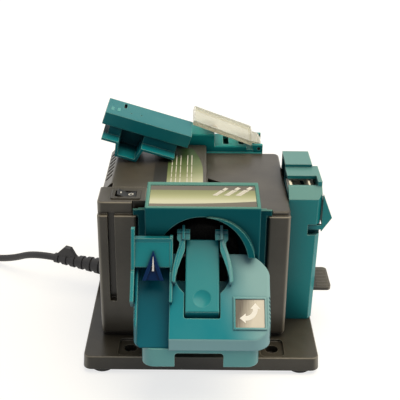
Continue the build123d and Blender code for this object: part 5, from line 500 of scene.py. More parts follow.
# Painted top light on the frame, dust and painted top light on the chisel station.
FRAME_TOP_LIGHT = (0.3, "9bd0b9")
STATION_TOP_DUST_AND_LIGHT = (0.3, "9d897c")
INNER_NODES = "motor_cradle brush_holders mid_bearing_bracket cooling_fan"
moulded_plastic("top_cover", "grey_abs_cover", *GREY, shine=0.36, edge_highlight=0.9, cloudy=0.12)
moulded_plastic("body_housing press_tab", "grey_abs", *GREY, shine=0.36, edge_highlight=0.9, cloudy=0.12, corner_highlight=0.6)
moulded_plastic("base_plate", "grey_abs_base", *BASE_GREY, shine=0.34, edge_highlight=0.9, cloudy=0.12, corner_highlight=0.6)
moulded_plastic("setting_gauge", "teal_abs", *TEAL, shine=0.26, edge_highlight=0.95, reach=45.0, cloudy=0.03)
moulded_plastic(
    "chisel_housing chisel_lever", "teal_abs_station", *STATION_TEAL, shine=0.28, edge_highlight=0.95, reach=30.0,
    cloudy=0.03, tops=STATION_TOP_DUST_AND_LIGHT,
)
moulded_plastic(
    "knife_housing", "teal_abs_rear", *STATION_TEAL, shine=0.12, edge_highlight=0.95, reach=8.0, cloudy=0.03
)
# Painted shade: a darker copy of the teal, with painted light on its tops.
moulded_plastic(
    "drill_frame", "teal_abs_matt_shaded", *SHADED_FRAME_TEAL, shine=0.05, edge_highlight=1.0, reach=30.0,
    cloudy=0.02, tops=FRAME_TOP_LIGHT,
)
# Painted shade: a darker copy of the teal.
moulded_plastic(
    "blade_guide guide_clip", "teal_abs_shaded_guide", *SHADED_GUIDE_TEAL, shine=0.16, edge_highlight=0.8, reach=12.0, cloudy=0.05
)
moulded_plastic(
    "drill_turret", "teal_abs_dust_and_sheen", *TURRET_TEAL, shine=0.07, edge_highlight=0.9, reach=12.0,
    cloudy=0.06, trough_shade=TROUGH, dust=TURRET_DUST_AND_SHEEN,
)
# Painted reflection: a paler copy of the teal.
moulded_plastic("turret_skirt", "teal_abs_painted_sheen", *SHEEN_SKIRT_TEAL, shine=0.6, edge_highlight=0.8)
# Little painted shade: Ambient Occlusion reaches only 5 mm here.
strip_abs = moulded_plastic(
    "clamp_strip", "teal_abs_strip_less_shade", *TEAL, shine=0.24, edge_highlight=0.95, reach=5.0, cloudy=0.03
)
moulded_plastic("lip_gauge", "navy_abs", *NAVY, shine=0.1, reach=8.0, cloudy=0.03)
moulded_plastic("switch_rocker", "black_nylon", "1a1a1b", "3a3a3b", "0d0d0e", 0.8, 0.34, edge_highlight=0.35)
moulded_plastic("switch_body", "grey_nylon", "35322c", "6d685e", "1b1916", 0.8, 0.34)
moulded_plastic(INNER_NODES, "black_inner_nylon", "232324", "3a3a3c", "101011", 1.0, 0.5)
moulded_plastic("carbon_brushes", "pressed_carbon", "1c1c1d", "3b3b3d", "101010", 0.6, 0.6)
print("solids in plastic", len(dressed))

# %% [markdown]
# ## Rubber and PVC
# The feet, the boot and the lead are soft black compounds: a duller gloss, and faint dust in wide clouds.
# Nothing pales their edges, so a skin without an edge finder will do. The lead's sheath is a little
# glossier than rubber.

# %% Soft black compounds
DUST_CLOUD_MM = 18.0
DUST_CLOUD_SPAN = (0.45, 0.8)
DUST_CLOUD_SHARE = 0.4
SOFT_GLOSS = (-0.08, 0.1)
SOFT_IOR = 1.52
PVC_NODES = "cord_boot plug_body mains_cord cord_coil"


def soft_black(names, finish, colour, dusty, rough, grain_mm):
    """A dark flexible skin with faint dust and a fine matt grain."""
    material, tree, shader, place = start_material(finish)
    dust = put(tree, "ShaderNodeTexNoise", {"Vector": place, "Scale": per_mm(DUST_CLOUD_MM), "Detail": 5.0})
    low, high = DUST_CLOUD_SPAN
    faint = {"Value": dust, "From Min": low, "From Max": high, "To Max": DUST_CLOUD_SHARE}
    share = put(tree, "ShaderNodeMapRange", faint)
    skin = put(tree, "ShaderNodeMix", {0: share, 6: linear(colour), 7: linear(dusty)}, data_type="RGBA")
    grain = put(tree, "ShaderNodeTexNoise", {"Vector": place, "Scale": per_mm(grain_mm), "Detail": 2.0})
    bump = put(tree, "ShaderNodeBump", {"Height": grain, "Strength": 0.4, "Distance": GRAIN_DEPTH})
    matt = {"Value": dust, "To Min": rough + SOFT_GLOSS[0], "To Max": rough + SOFT_GLOSS[1]}
    gloss = put(tree, "ShaderNodeMapRange", matt)
    feed(tree, shader, {"Base Color": skin, "Roughness": gloss, "Normal": bump, "IOR": SOFT_IOR})
    return dress(names, material)


soft_black("rubber_feet cord_tie", "foot_rubber", "1d1d1c", "33322f", 0.72, 0.8)
pvc_sheath = soft_black(PVC_NODES, "pvc_sheath", "1b1a1c", "38373a", 0.45, 1.2)
lead_line.materials.append(pvc_sheath)
print("the lead wears", pvc_sheath.name)

# %% [markdown]
# ## Metals
# Turned and stamped steel shows fine parallel marks, copper wire shows its winding, and stacked laminations
# show as thin stripes. An anisotropic gloss would only stretch the highlights, so the marks are drawn as
# noise that is stretched along them, in the tint, the gloss and the bump. The bright sheet in the chisel
# window is painted near-white and given almost no metal, as painted light, so that it looks lit in its
# shaded window.

# %% Metals
MARK_DEPTH = mm(0.02)
METAL_GLOSS = (-0.08, 0.12)
STEEL_NODES = """base_screws motor_shaft front_spindle rear_spindle drill_flanges knife_flanges
    chisel_flanges drill_nut knife_nut chisel_nut drive_gear front_gear rear_gear"""
CORE_NODES = "motor_stator armature_core"
COPPER_NODES = "field_coils armature_windings commutator"
PIN_NODES = "clamp_pin lever_pin tab_pin guard_pin"


def marked_metal(names, finish, colour, dark, rough, mark_mm, stretch, metal=1.0):
    """A metal whose fine marks run along the axis with the smallest stretch."""
    material, tree, shader, place = start_material(finish)
    drawn = put(tree, "ShaderNodeMapping", {"Vector": place, "Scale": stretch})
    marks = put(tree, "ShaderNodeTexNoise", {"Vector": drawn, "Scale": per_mm(mark_mm), "Detail": 3.0})
    tint = put(tree, "ShaderNodeMix", {0: marks, 6: linear(dark), 7: linear(colour)}, data_type="RGBA")
    shiny = {"Value": marks, "To Min": rough + METAL_GLOSS[0], "To Max": rough + METAL_GLOSS[1]}
    gloss = put(tree, "ShaderNodeMapRange", shiny)
    bump = put(tree, "ShaderNodeBump", {"Height": marks, "Strength": 0.25, "Distance": MARK_DEPTH})
    feed(tree, shader, {"Base Color": tint, "Roughness": gloss, "Normal": bump, "Metallic": metal})
    return dress(names, material)


marked_metal(STEEL_NODES, "turned_steel", "c9c7c1", "96948f", 0.3, 0.6, (1.0, 1.0, 0.08))
marked_metal("shaft_bearings", "ground_race_steel", "d3d2cf", "adaca9", 0.2, 0.5, (0.1, 1.0, 1.0))
marked_metal(CORE_NODES, "core_laminations", "8d8c8a", "4c4b4a", 0.45, 0.9, (1.0, 0.03, 0.03))
marked_metal(COPPER_NODES, "enamelled_copper", "b0602f", "7a3a17", 0.32, 0.8, (0.05, 1.0, 1.0))
marked_metal("spindle_bushes", "sintered_bronze", "b08a4a", "7c5f30", 0.45, 0.5, (1.0, 1.0, 1.0))
marked_metal("plug_pins", "nickel_plating", "d8d4c8", "b7b3a8", 0.22, 0.6, (1.0, 0.1, 1.0))
blacked_steel = marked_metal(PIN_NODES, "blacked_steel", "3b3b3d", "242426", 0.42, 0.6, (1.0, 0.1, 1.0))
# Painted light: the sheet is near-white and almost without metal, so that it looks lit in its shaded window.
marked_metal("chisel_guide", "galvanised_sheet", "fffdf2", "e6e1d2", 0.5, 0.9, (0.3, 1.0, 1.0), metal=0.1)
print("solids in plastic, rubber and metal", len(dressed))

# %% [markdown]
# ## Grinding wheels
# A vitrified wheel is a mass of grit about 0.25 mm across with open pores. Noise would blur the grains into
# each other, so Voronoi cells make the grit, drawn at 0.7 mm so that it shows, and the distance to a cell's
# middle makes the pores. The drill and knife wheels are near-black silicon carbide, and the chisel wheel is
# cream-grey corundum.

# %% Bonded grit
GRIT_MM = 0.7
PORE_DEPTH = mm(0.15)


def bonded_grit(names, finish, dark, light, shine):
    """A vitrified wheel: grains of mixed greys with pores between them."""
    material, tree, shader, place = start_material(finish)
    cells = put(tree, "ShaderNodeTexVoronoi", {"Vector": place, "Scale": per_mm(GRIT_MM)}).outputs
    grey = put(tree, "ShaderNodeSeparateColor", {"Color": cells["Color"]})
    mixed = put(tree, "ShaderNodeMix", {0: grey, 6: linear(dark), 7: linear(light)}, data_type="RGBA")
    holes = {"Height": cells["Distance"], "Strength": 0.8, "Distance": PORE_DEPTH}
    pits = put(tree, "ShaderNodeBump", holes, invert=True)
    feed(tree, shader, {"Base Color": mixed, "Normal": pits, "Roughness": 0.85, "Specular IOR Level": shine})
    return dress(names, material)


bonded_grit("drill_wheel knife_wheel", "silicon_carbide_grit", "0e0d0c", "2b2927", 0.2)
bonded_grit("chisel_wheel", "corundum_grit", "c4beb0", "ebe5d8", 0.4)
print("grit drawn at", GRIT_MM, "mm")

# %% [markdown]
# ## The clear guard
# A moulded polystyrene window, yellowed a little by age and hazed by fine scratches, which sit in the
# roughness as long thin noise. Most of the light goes through, bent by the plastic, and its rims are painted
# white as a painted highlight, found by a Bevel node again. The renderer doesn't follow lamp light through
# bent plastic, so what lies behind the guard would be too dark. For shadow rays the guard is therefore a
# plain tinted film.

# %% Clear polystyrene
SCRATCH_STRETCH = (0.06, 1.0, 0.06)
SCRATCH_MM = 0.8
HAZE_SPAN = (0.35, 0.75)
HAZE_ROUGH = (0.08, 0.3)
RIM_RADIUS = mm(1.0)
RIM_SPAN = (0.99, 0.85)
GUARD_CLEAR = "e2e2d4"
GUARD_AGED = "d4d3c2"
GUARD_PASSES = "ccccca"
STYRENE_IOR = 1.59
clear_styrene, tree, shader, place = start_material("clear_polystyrene")
drawn = put(tree, "ShaderNodeMapping", {"Vector": place, "Scale": SCRATCH_STRETCH})
fine = {"Vector": drawn, "Scale": per_mm(SCRATCH_MM), "Detail": 4.0}
scratches = put(tree, "ShaderNodeTexNoise", fine)
dull = {"Value": scratches, "From Min": HAZE_SPAN[0], "From Max": HAZE_SPAN[1]}
haze = put(tree, "ShaderNodeMapRange", {**dull, "To Min": HAZE_ROUGH[0], "To Max": HAZE_ROUGH[1]})
ages = {0: scratches, 6: linear(GUARD_CLEAR), 7: linear(GUARD_AGED)}
aged = put(tree, "ShaderNodeMix", ages, data_type="RGBA")
# Painted highlight: the rims are painted white.
rim = edge_share(tree, RIM_RADIUS, RIM_SPAN)[1]
painted_rim_highlight = put(tree, "ShaderNodeMix", {0: rim, 6: aged, 7: linear("ffffff")}, data_type="RGBA")
feed(tree, shader, {"Base Color": painted_rim_highlight, "Roughness": haze, "Transmission Weight": 0.7, "IOR": STYRENE_IOR})
film = put(tree, "ShaderNodeBsdfTransparent", {"Color": linear(GUARD_PASSES)})
shadow_ray = put(tree, "ShaderNodeLightPath").outputs["Is Shadow Ray"]
lets_light = put(tree, "ShaderNodeMixShader", {0: shadow_ray, 1: shader, 2: film})
feed(tree, tree.get_output_node("ALL"), {"Surface": lets_light})
dress("clear_guard", clear_styrene)
print("solids without a finish", sorted(set(nodes) - dressed))

# %% [markdown]
# ## Laying a thin sticker on a face
# A sticker has no thickness to speak of, but it must lie on the solid that carries it. It could be painted
# into the solid's material, but as a piece of its own it keeps sharp edges. A ray shot at the solid finds
# the exact spot, so the sticker sits on the face from any side. `lay` takes flat outlines in millimetres on
# a little drawing board with its own right and up directions, and gives each a thin edge.

# %% Laying flat outlines
PRINT_THICK = mm(0.12)
RAY_FROM = mm(300)
ACROSS = Vector((1, 0, 0))
BACK = Vector((0, 1, 0))
DOWN = Vector((0, 0, -1))


def spot_on(node, start, way):
    """Where a ray from start first meets a solid."""
    mesh = nodes[node].data
    tree = BVHTree.FromPolygons([v.co for v in mesh.vertices], [p.vertices for p in mesh.polygons])
    return tree.ray_cast(start, way)[0]


def top_of(node, x, y):
    """The topmost spot of a solid at x and y, in millimetres."""
    return spot_on(node, Vector((mm(x), mm(y), RAY_FROM)), DOWN)


class Board:
    """A flat drawing board laid on a face: a frame of centre, right, up and out."""

    def __init__(self, centre, right, up):
        self.centre = Vector(centre)
        self.right = Vector(right).normalized()
        self.out = self.right.cross(Vector(up)).normalized()
        self.up = self.out.cross(self.right)

    def at(self, x, y, out=0.0):
        """A point x right and y up of the centre, in millimetres, lifted by out metres."""
        return self.centre + self.right * mm(x) + self.up * mm(y) + self.out * out

    def matrix(self):
        """Turns drawing-board metres into the frame."""
        turn = Matrix((self.right, self.up, self.out)).transposed().to_4x4()
        return Matrix.Translation(self.centre) @ turn


def lay(name, board, outlines, material, body, lift=0.0, thick=PRINT_THICK):
    """Makes flat pieces from outlines on a board, with a thin edge, and lets them ride on a body."""
    shape = bmesh.new()
    for outline in outlines:
        low = [shape.verts.new(board.at(x, y, lift)) for x, y in outline]
        high = [shape.verts.new(board.at(x, y, lift + thick)) for x, y in outline]
        shape.faces.new(high)
        shape.faces.new(low[::-1])
        for i in range(len(low)):
            j = (i + 1) % len(low)
            shape.faces.new((low[i], low[j], high[j], high[i]))
    bmesh.ops.recalc_face_normals(shape, faces=shape.faces)
    mesh = bpy.data.meshes.new(name)
    shape.to_mesh(mesh)
    shape.free()
    mesh.materials.append(material)
    piece = show(name, mesh)
    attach(piece, body)


def box(x, y, wide, tall):
    """Outline of a rectangle from its lower left corner."""
    return [(x, y), (x + wide, y), (x + wide, y + tall), (x, y + tall)]


def on_circle(radius, degrees, centre=(0.0, 0.0)):
    """A point on a circle, at an angle from the board's right."""
    a = math.radians(degrees)
    return (centre[0] + radius * math.cos(a), centre[1] + radius * math.sin(a))


def rounded(wide, tall, corner, steps=5):
    """Outline of a rounded rectangle about the board's centre."""
    points = []
    for x, y, first in ((1, 1, 0), (-1, 1, 90), (-1, -1, 180), (1, -1, 270)):
        centre = (x * (wide / 2 - corner), y * (tall / 2 - corner))
        points += [on_circle(corner, first + 90 * i / steps, centre) for i in range(steps + 1)]
    return points


print("print is", PRINT_THICK * 1000, "mm thick")

# %% [markdown]
# ## The front sticker
# A glossy printed sticker fills the recess on the roof of the drill station: a warm grey band at the back,
# an olive field that fades to cream towards the front, and a grey sweep along the front edge that widens to
# the right. `along_line` runs colours from one point to another: the dot product of the place with that
# line, divided by the line's length squared, is 0 at the first point and 1 at the second.

# %% Printed paper
FIBRE_MM = 1.2


def along_line(tree, place, start, end):
    """How far a place lies along a line: 0 at its start, 1 at its end, both in metres."""
    line = Vector(end) - Vector(start)
    off = put(tree, "ShaderNodeVectorMath", {0: place, 1: start}, operation="SUBTRACT")
    measure = {0: off, 1: line / line.length_squared}
    return put(tree, "ShaderNodeVectorMath", measure, operation="DOT_PRODUCT")


def set_stops(ramp, stops):
    """Writes places and colours into a colour ramp."""
    bands = ramp.color_ramp.elements
    while len(bands) < len(stops):
        bands.new(0.5)
    for band, (spot, colour) in zip(bands, stops):
        band.position = spot
        band.color = linear(colour)


def printed_paper(name, start, end, stops, rough=0.25):
    """A glossy sticker whose print runs from one point to another."""
    material, tree, shader, place = start_material(name)
    ramp = put(tree, "ShaderNodeValToRGB", {"Fac": along_line(tree, place, start, end)})
    set_stops(ramp, stops)
    fibre = put(tree, "ShaderNodeTexNoise", {"Vector": place, "Scale": per_mm(FIBRE_MM), "Detail": 2.0})
    wavy = put(tree, "ShaderNodeBump", {"Height": fibre, "Strength": 0.15, "Distance": MARK_DEPTH})
    feed(tree, shader, {"Base Color": ramp, "Normal": wavy, "Roughness": rough, "Specular IOR Level": 0.4})
    return material


print("paper fibres drawn at", FIBRE_MM, "mm")

# %% Front sticker
STICKER_WIDE = 78.0
STICKER_FRONT = -92.0
STICKER_BACK = -58.6
STICKER_CORNER = 1.0
SWEEP_THIN = 4.2
SWEEP_WIDE = 8.6
SWEEP_POWER = 2.5
SWEEP_INSET = 0.1
SWEEP_STEPS = 24
FRONT_PRINT = [(0.0, "d4d7c2"), (0.27, "cfd2b8"), (0.44, "b3b88e"), (0.6, "979d6d"), (0.77, "838a5a")]
FRONT_PRINT += [(0.8, "625d50"), (1.0, "5f5a4d")]
SWEEP_PRINT = [(0.0, "746f62"), (1.0, "676255")]


def sweep_top(share):
    """Upper edge of the grey sweep, from the left end (0) to the right end (1)."""
    height = SWEEP_THIN + (SWEEP_WIDE - SWEEP_THIN) * share**SWEEP_POWER
    return ((share - 0.5) * STICKER_WIDE, height - sticker_tall / 2)


roof_front = top_of("drill_frame", 0, STICKER_FRONT)
roof_back = top_of("drill_frame", 0, STICKER_BACK)
roof_board = Board((roof_front + roof_back) / 2, ACROSS, roof_back - roof_front)
sticker_tall = (roof_back - roof_front).length * 1000
sticker = rounded(STICKER_WIDE, sticker_tall, STICKER_CORNER)
sweep_ends = [mm(x, 0, 0) for x in (-STICKER_WIDE / 2, STICKER_WIDE / 2)]
front_print = printed_paper("front_sticker_print", roof_front, roof_back, FRONT_PRINT)
sweep_print = printed_paper("grey_sweep_print", *sweep_ends, SWEEP_PRINT)
crest = [sweep_top(i / SWEEP_STEPS) for i in range(SWEEP_STEPS + 1)]
foot = -sticker_tall / 2 + SWEEP_INSET
sweep = [[(a[0], foot), (b[0], foot), b, a] for a, b in zip(crest, crest[1:])]
lay("front_sticker", roof_board, [sticker], front_print, "drill_station")
lay("grey_sweep", roof_board, sweep, sweep_print, "drill_station", PRINT_THICK)
print("front sticker", round(STICKER_WIDE), "by", round(sticker_tall), "mm")

# %% [markdown]
# ## Drill marks on the sticker
# Three little twist drills of rising size say what the station is for. Each could be drawn as an outline,
# but they repeat twice over, so Geometry Nodes make them: slanted bars along a line are the flutes of one
# drill, a plain bar is its shank, and the finished drill is copied along a row, each copy a little larger.
# The sizes are inputs of the tree, and the result is turned into a plain mesh and laid on the same board.

# %% Tree for a row of drill marks
DRILL_INPUTS = "Drills Spacing Growth Lean Flutes Pitch Twist Wide Shank Thick Ink".split()
DRILL_KINDS = {"Drills": "NodeSocketInt", "Flutes": "NodeSocketInt", "Ink": "NodeSocketMaterial"}
FLUTE_SHARE = 0.72
SHANK_SHARE = 0.75


def drill_row_tree():
    """A tree that draws a row of leaning twist drills; returns it with its inputs' identifiers."""
    tree = bpy.data.node_groups.new("drill_row", "GeometryNodeTree")
    face = tree.interface
    face.new_socket("Geometry", in_out="OUTPUT", socket_type="NodeSocketGeometry")
    keys = {}
    for name in DRILL_INPUTS:
        kind = DRILL_KINDS.get(name, "NodeSocketFloat")
        keys[name] = face.new_socket(name, in_out="INPUT", socket_type=kind).identifier
    given = put(tree, "NodeGroupInput").outputs

    bar_wide = put(tree, "ShaderNodeMath", {0: given["Pitch"], 1: FLUTE_SHARE}, operation="MULTIPLY")
    bar_size = put(tree, "ShaderNodeCombineXYZ", {"X": bar_wide, "Y": given["Wide"], "Z": given["Thick"]})
    bar = put(tree, "GeometryNodeMeshCube", {"Size": bar_size})
    step = put(tree, "ShaderNodeCombineXYZ", {"X": given["Pitch"]})
    line = put(tree, "GeometryNodeMeshLine", {"Count": given["Flutes"], "Offset": step})
    twist = put(tree, "ShaderNodeCombineXYZ", {"Z": given["Twist"]})
    slanted = {"Points": line, "Instance": bar, "Rotation": twist}
    flutes = put(tree, "GeometryNodeInstanceOnPoints", slanted)

    shank_wide = put(tree, "ShaderNodeMath", {0: given["Wide"], 1: SHANK_SHARE}, operation="MULTIPLY")
    shank_box = {"X": given["Shank"], "Y": shank_wide, "Z": given["Thick"]}
    shank_size = put(tree, "ShaderNodeCombineXYZ", shank_box)
    shank = put(tree, "GeometryNodeMeshCube", {"Size": shank_size})
    reach = put(tree, "ShaderNodeMath", {0: given["Flutes"], 1: given["Pitch"]}, operation="MULTIPLY")
    half = put(tree, "ShaderNodeMath", {0: given["Shank"], 1: 0.5, 2: reach}, operation="MULTIPLY_ADD")
    shank_at = put(tree, "ShaderNodeCombineXYZ", {"X": half})
    moved = put(tree, "GeometryNodeTransform", {0: shank, "Translation": shank_at})
    drill = put(tree, "GeometryNodeJoinGeometry", {0: flutes})
    feed(tree, drill, {0: moved})

    gap = put(tree, "ShaderNodeCombineXYZ", {"X": given["Spacing"]})
    row = put(tree, "GeometryNodeMeshLine", {"Count": given["Drills"], "Offset": gap})
    number = put(tree, "GeometryNodeInputIndex")
    size = put(tree, "ShaderNodeMath", {0: number, 1: given["Growth"], 2: 1.0}, operation="MULTIPLY_ADD")
    lean = put(tree, "ShaderNodeCombineXYZ", {"Z": given["Lean"]})
    leaning = {"Points": row, "Instance": drill, "Rotation": lean, "Scale": size}
    copies = put(tree, "GeometryNodeInstanceOnPoints", leaning)
    real = put(tree, "GeometryNodeRealizeInstances", {0: copies})
    inked = put(tree, "GeometryNodeSetMaterial", {"Geometry": real, "Material": given["Ink"]})
    put(tree, "NodeGroupOutput", {0: inked})
    return tree, keys


drill_row, keys = drill_row_tree()
print("the drill tree has", len(drill_row.nodes), "nodes")

# %% Drill marks
DRILL_SIZES = {"Spacing": mm(8.6), "Pitch": mm(1.7), "Wide": mm(3.7), "Shank": mm(4.2), "Thick": PRINT_THICK}
DRILL_TURNS = {"Lean": math.radians(52), "Twist": math.radians(28), "Growth": 0.07}
DRILL_COUNTS = {"Drills": 3, "Flutes": 6}
MARKS_AT = mm(9.2, 1.6, 0.18)


def speckled_ink(name, dark, light, speck_mm, rough):
    """A printing ink of two close tints."""
    material, tree, shader, place = start_material(name)
    speck = put(tree, "ShaderNodeTexNoise", {"Vector": place, "Scale": per_mm(speck_mm), "Detail": 2.0})
    tint = put(tree, "ShaderNodeMix", {0: speck, 6: linear(dark), 7: linear(light)}, data_type="RGBA")
    feed(tree, shader, {"Base Color": tint, "Roughness": rough})
    return material


silver_ink = speckled_ink("silver_ink", "c9c6bd", "f0eee8", 0.9, 0.35)
white_ink = speckled_ink("white_ink", "f4f4f0", "ffffff", 1.0, 0.4)
holder = show("drill_marks_source", bpy.data.meshes.new("drill_marks_source"))
maker = holder.modifiers.new("drills", "NODES")
maker.node_group = drill_row
for name, value in {**DRILL_SIZES, **DRILL_TURNS, **DRILL_COUNTS, "Ink": silver_ink}.items():
    maker[keys[name]] = value
ready = holder.evaluated_get(bpy.context.evaluated_depsgraph_get())
marks_mesh = bpy.data.meshes.new_from_object(ready)
bpy.data.objects.remove(holder)
marks_mesh.transform(roof_board.matrix() @ Matrix.Translation(MARKS_AT))
drill_marks = show("drill_marks", marks_mesh)
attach(drill_marks, "drill_station")
print("drill marks", len(marks_mesh.polygons), "faces")

# %% [markdown]
# ## The turning sign
# A square of brushed foil inside the raised rim on the turret, with a white bent arrow that says the turret
# is swung to and fro. The foil's colour is painted paler at its right, a painted reflection of the lamp, so
# it runs along a line as the sticker's print does, streaked by the brush. The arrow is one flat drawing: an
# arc of short strips with a head at each end.

# %% Brushed foil
SIGN_SIDE = 20.6
SIGN_AT = (34.2, -129.1)
SLOPE_X = 18
SLOPE_LOW = -140
SLOPE_HIGH = -120
BRUSH_STRETCH = (1.0, 0.05, 0.05)
BRUSH_MM = 0.7
BRUSH_SHARE = 0.25
FOIL_PAINTED_REFLECTION = [(0.35, "59534b"), (0.85, "c4bfb3")]
slope_low = top_of("drill_turret", SLOPE_X, SLOPE_LOW)
slope_high = top_of("drill_turret", SLOPE_X, SLOPE_HIGH)
slope_up = (slope_high - slope_low).normalized()
slope_out = ACROSS.cross(slope_up)
sign_at = top_of("drill_turret", *SIGN_AT)
sign_board = Board(sign_at, ACROSS, slope_up)

foil, tree, shader, place = start_material("brushed_foil")
drawn = put(tree, "ShaderNodeMapping", {"Vector": place, "Scale": BRUSH_STRETCH})
brush = put(tree, "ShaderNodeTexNoise", {"Vector": drawn, "Scale": per_mm(BRUSH_MM), "Detail": 3.0})
# Painted reflection: the foil darkens towards its left and pales towards its right.
dark_end = sign_board.at(-SIGN_SIDE / 2, SIGN_SIDE / 2)
light_end = sign_board.at(SIGN_SIDE / 2, SIGN_SIDE / 4)
streaks = {0: brush, 1: BRUSH_SHARE, 2: along_line(tree, place, dark_end, light_end)}
streaked = put(tree, "ShaderNodeMath", streaks, operation="MULTIPLY_ADD")
tint = put(tree, "ShaderNodeValToRGB", {"Fac": streaked})
set_stops(tint, FOIL_PAINTED_REFLECTION)
feed(tree, shader, {"Base Color": tint, "Metallic": 0.2, "Roughness": 0.4})
print("sign at", in_mm(sign_at))

# %% Turning sign
SIGN_CORNER = 0.6
ARC_CENTRE = (-3.2, 3.4)
ARC_RADIUS = 7.0
ARC_WIDE = 3.4
ARC_STEPS = 14
HEAD_WIDE = 7.2
HEAD_LONG = 4.2
arc_turns = [-90 * i / ARC_STEPS for i in range(ARC_STEPS + 1)]
outer = [on_circle(ARC_RADIUS + ARC_WIDE / 2, turn, ARC_CENTRE) for turn in arc_turns]
inner = [on_circle(ARC_RADIUS - ARC_WIDE / 2, turn, ARC_CENTRE) for turn in arc_turns]
arrow = [[outer[i], inner[i], inner[i + 1], outer[i + 1]] for i in range(ARC_STEPS)]
x, y = on_circle(ARC_RADIUS, arc_turns[0], ARC_CENTRE)
arrow.append([(x - HEAD_WIDE / 2, y), (x + HEAD_WIDE / 2, y), (x, y + HEAD_LONG)])
x, y = on_circle(ARC_RADIUS, arc_turns[-1], ARC_CENTRE)
arrow.append([(x, y + HEAD_WIDE / 2), (x - HEAD_LONG, y), (x, y - HEAD_WIDE / 2)])
square = rounded(SIGN_SIDE, SIGN_SIDE, SIGN_CORNER)
lay("turning_sign", sign_board, [square], foil, "turret")
lay("turning_arrow", sign_board, arrow, white_ink, "turret", PRINT_THICK)
print("arrow of", len(arrow), "outlines")

# %% [markdown]
# ## The thumb lip of the clamp strip
# The strip ends in a slanted lip that the thumb pushes. It is one outline in the plane across the strip,
# drawn out over the strip's width, and it starts a little inside the strip so that no gap shows.

# %% Thumb lip
LIP_OUTLINE = [(0.4, -0.6), (0.4, -7.0), (-3.5, -7.0), (-3.5, -4.6), (-2.9, -3.9), (-0.5, -0.35)]
LIP_INSET = mm(0.1)
STRIP_RAY_Y = mm(-117)
strip_low, strip_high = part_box("clamp_strip")
strip_wide = strip_high[0] - strip_low[0]
strip_middle = (strip_low[0] + strip_high[0]) / 2
strip_top = spot_on("clamp_strip", Vector((strip_middle, STRIP_RAY_Y, RAY_FROM)), DOWN)
strip_end = strip_top + slope_up * ((strip_low[1] - strip_top.y) / slope_up.y)
strip_end.x = strip_low[0] + LIP_INSET
lip_board = Board(strip_end, slope_up, slope_out)
lip_wide = strip_wide - 2 * LIP_INSET
lay("thumb_lip", lip_board, [LIP_OUTLINE], strip_abs, "drill_clamp", thick=lip_wide)
print("thumb lip", round(strip_wide * 1000, 1), "mm wide, ends at", in_mm(strip_end))

# %% [markdown]
# ## The rims of the fins
# Two fins guide the drill on its way to the wheel, and the pin of the clamp strip sits in them. On the real
# turret their upper rim is turned in towards the strip, wide at the cross piece and narrow at the foot. The
# solid has the fins, and the rim is one outline laid above the slope, on one side as drawn and on the other
# side mirrored.

# %% Fin rims
SLOPE_Y = mm(-106.53)
RIM_LIFT = mm(6.4)
RIM_THICK = mm(1.5)
RIM_OUTLINE = [(9.2, 30.5), (18.6, 30.5), (18.6, 22.6), (16.8, 20.4), (17.2, 17.0), (18.5, 13.0)]
RIM_OUTLINE += [(20.3, 6.0), (21.4, 0.0), (21.9, -7.0), (21.9, -9.4), (20.3, -9.4), (19.4, -7.0)]
RIM_OUTLINE += [(18.0, -0.7), (15.5, 6.9), (13.0, 13.7), (12.7, 17.6), (12.7, 22.4), (9.2, 22.4)]
slope_start = slope_low + slope_up * ((SLOPE_Y - slope_low.y) / slope_up.y)
slope_board = Board((0, slope_start.y, slope_start.z), ACROSS, slope_up)
rims = [RIM_OUTLINE, [(-x, y) for x, y in RIM_OUTLINE]]
lay("fin_rims", slope_board, rims, strip_abs, "turret", RIM_LIFT, RIM_THICK)
print("fin rims from", round(slope_start.z * 1000, 1), "mm up")

# %% [markdown]
# ## The rating sticker
# A long sticker on the raised part of the cover, half hidden by the blade guide. It reads from the right
# side of the machine, so its lines run front to back. It has a near-black strip on the left, and a field
# with a curved right edge that fades from dark green at the back to cream at the front. Thin pale rules,
# broken into dashes, run along the field; two nested loops make them.

# %% Rating sticker
BAND_LEFT = -40.0
BAND_FRONT = -20.0
FIELD_LEFT = -29.2
FIELD_RIGHT = 0.4
FIELD_FRONT = -22.0
FIELD_BACK = 60.0
CURVE_FROM = 0.35
CURVE_BACK = 9.0
CURVE_STEPS = 20
HUMP_Y = 20.0
RATING_ROUGH = 0.35
FIELD_PRINT = [(0.0, "1c3318"), (0.3, "3d5529"), (0.5, "64744a"), (0.68, "868f65"), (0.85, "b5ba9a")]
FIELD_PRINT += [(1.0, "cfd2bd")]
BAND_PRINT = [(0.0, "302e2b"), (1.0, "1f1e1b")]
RULE_AT = (-26.0, -22.4, -18.8, -13.0, -9.4)
RULE_WIDE = 0.7
RULE_ENDS = ((-19.0, -6.0), (-4.0, 3.0), (5.0, 19.0), (21.0, 44.0))


def field_edge(share):
    """Right edge of the field: straight at the front, drawn in towards the back."""
    drawn_in = CURVE_BACK * max(0.0, (share - CURVE_FROM) / (1 - CURVE_FROM)) ** 2
    return (FIELD_RIGHT - drawn_in, FIELD_FRONT + share * (FIELD_BACK - FIELD_FRONT))


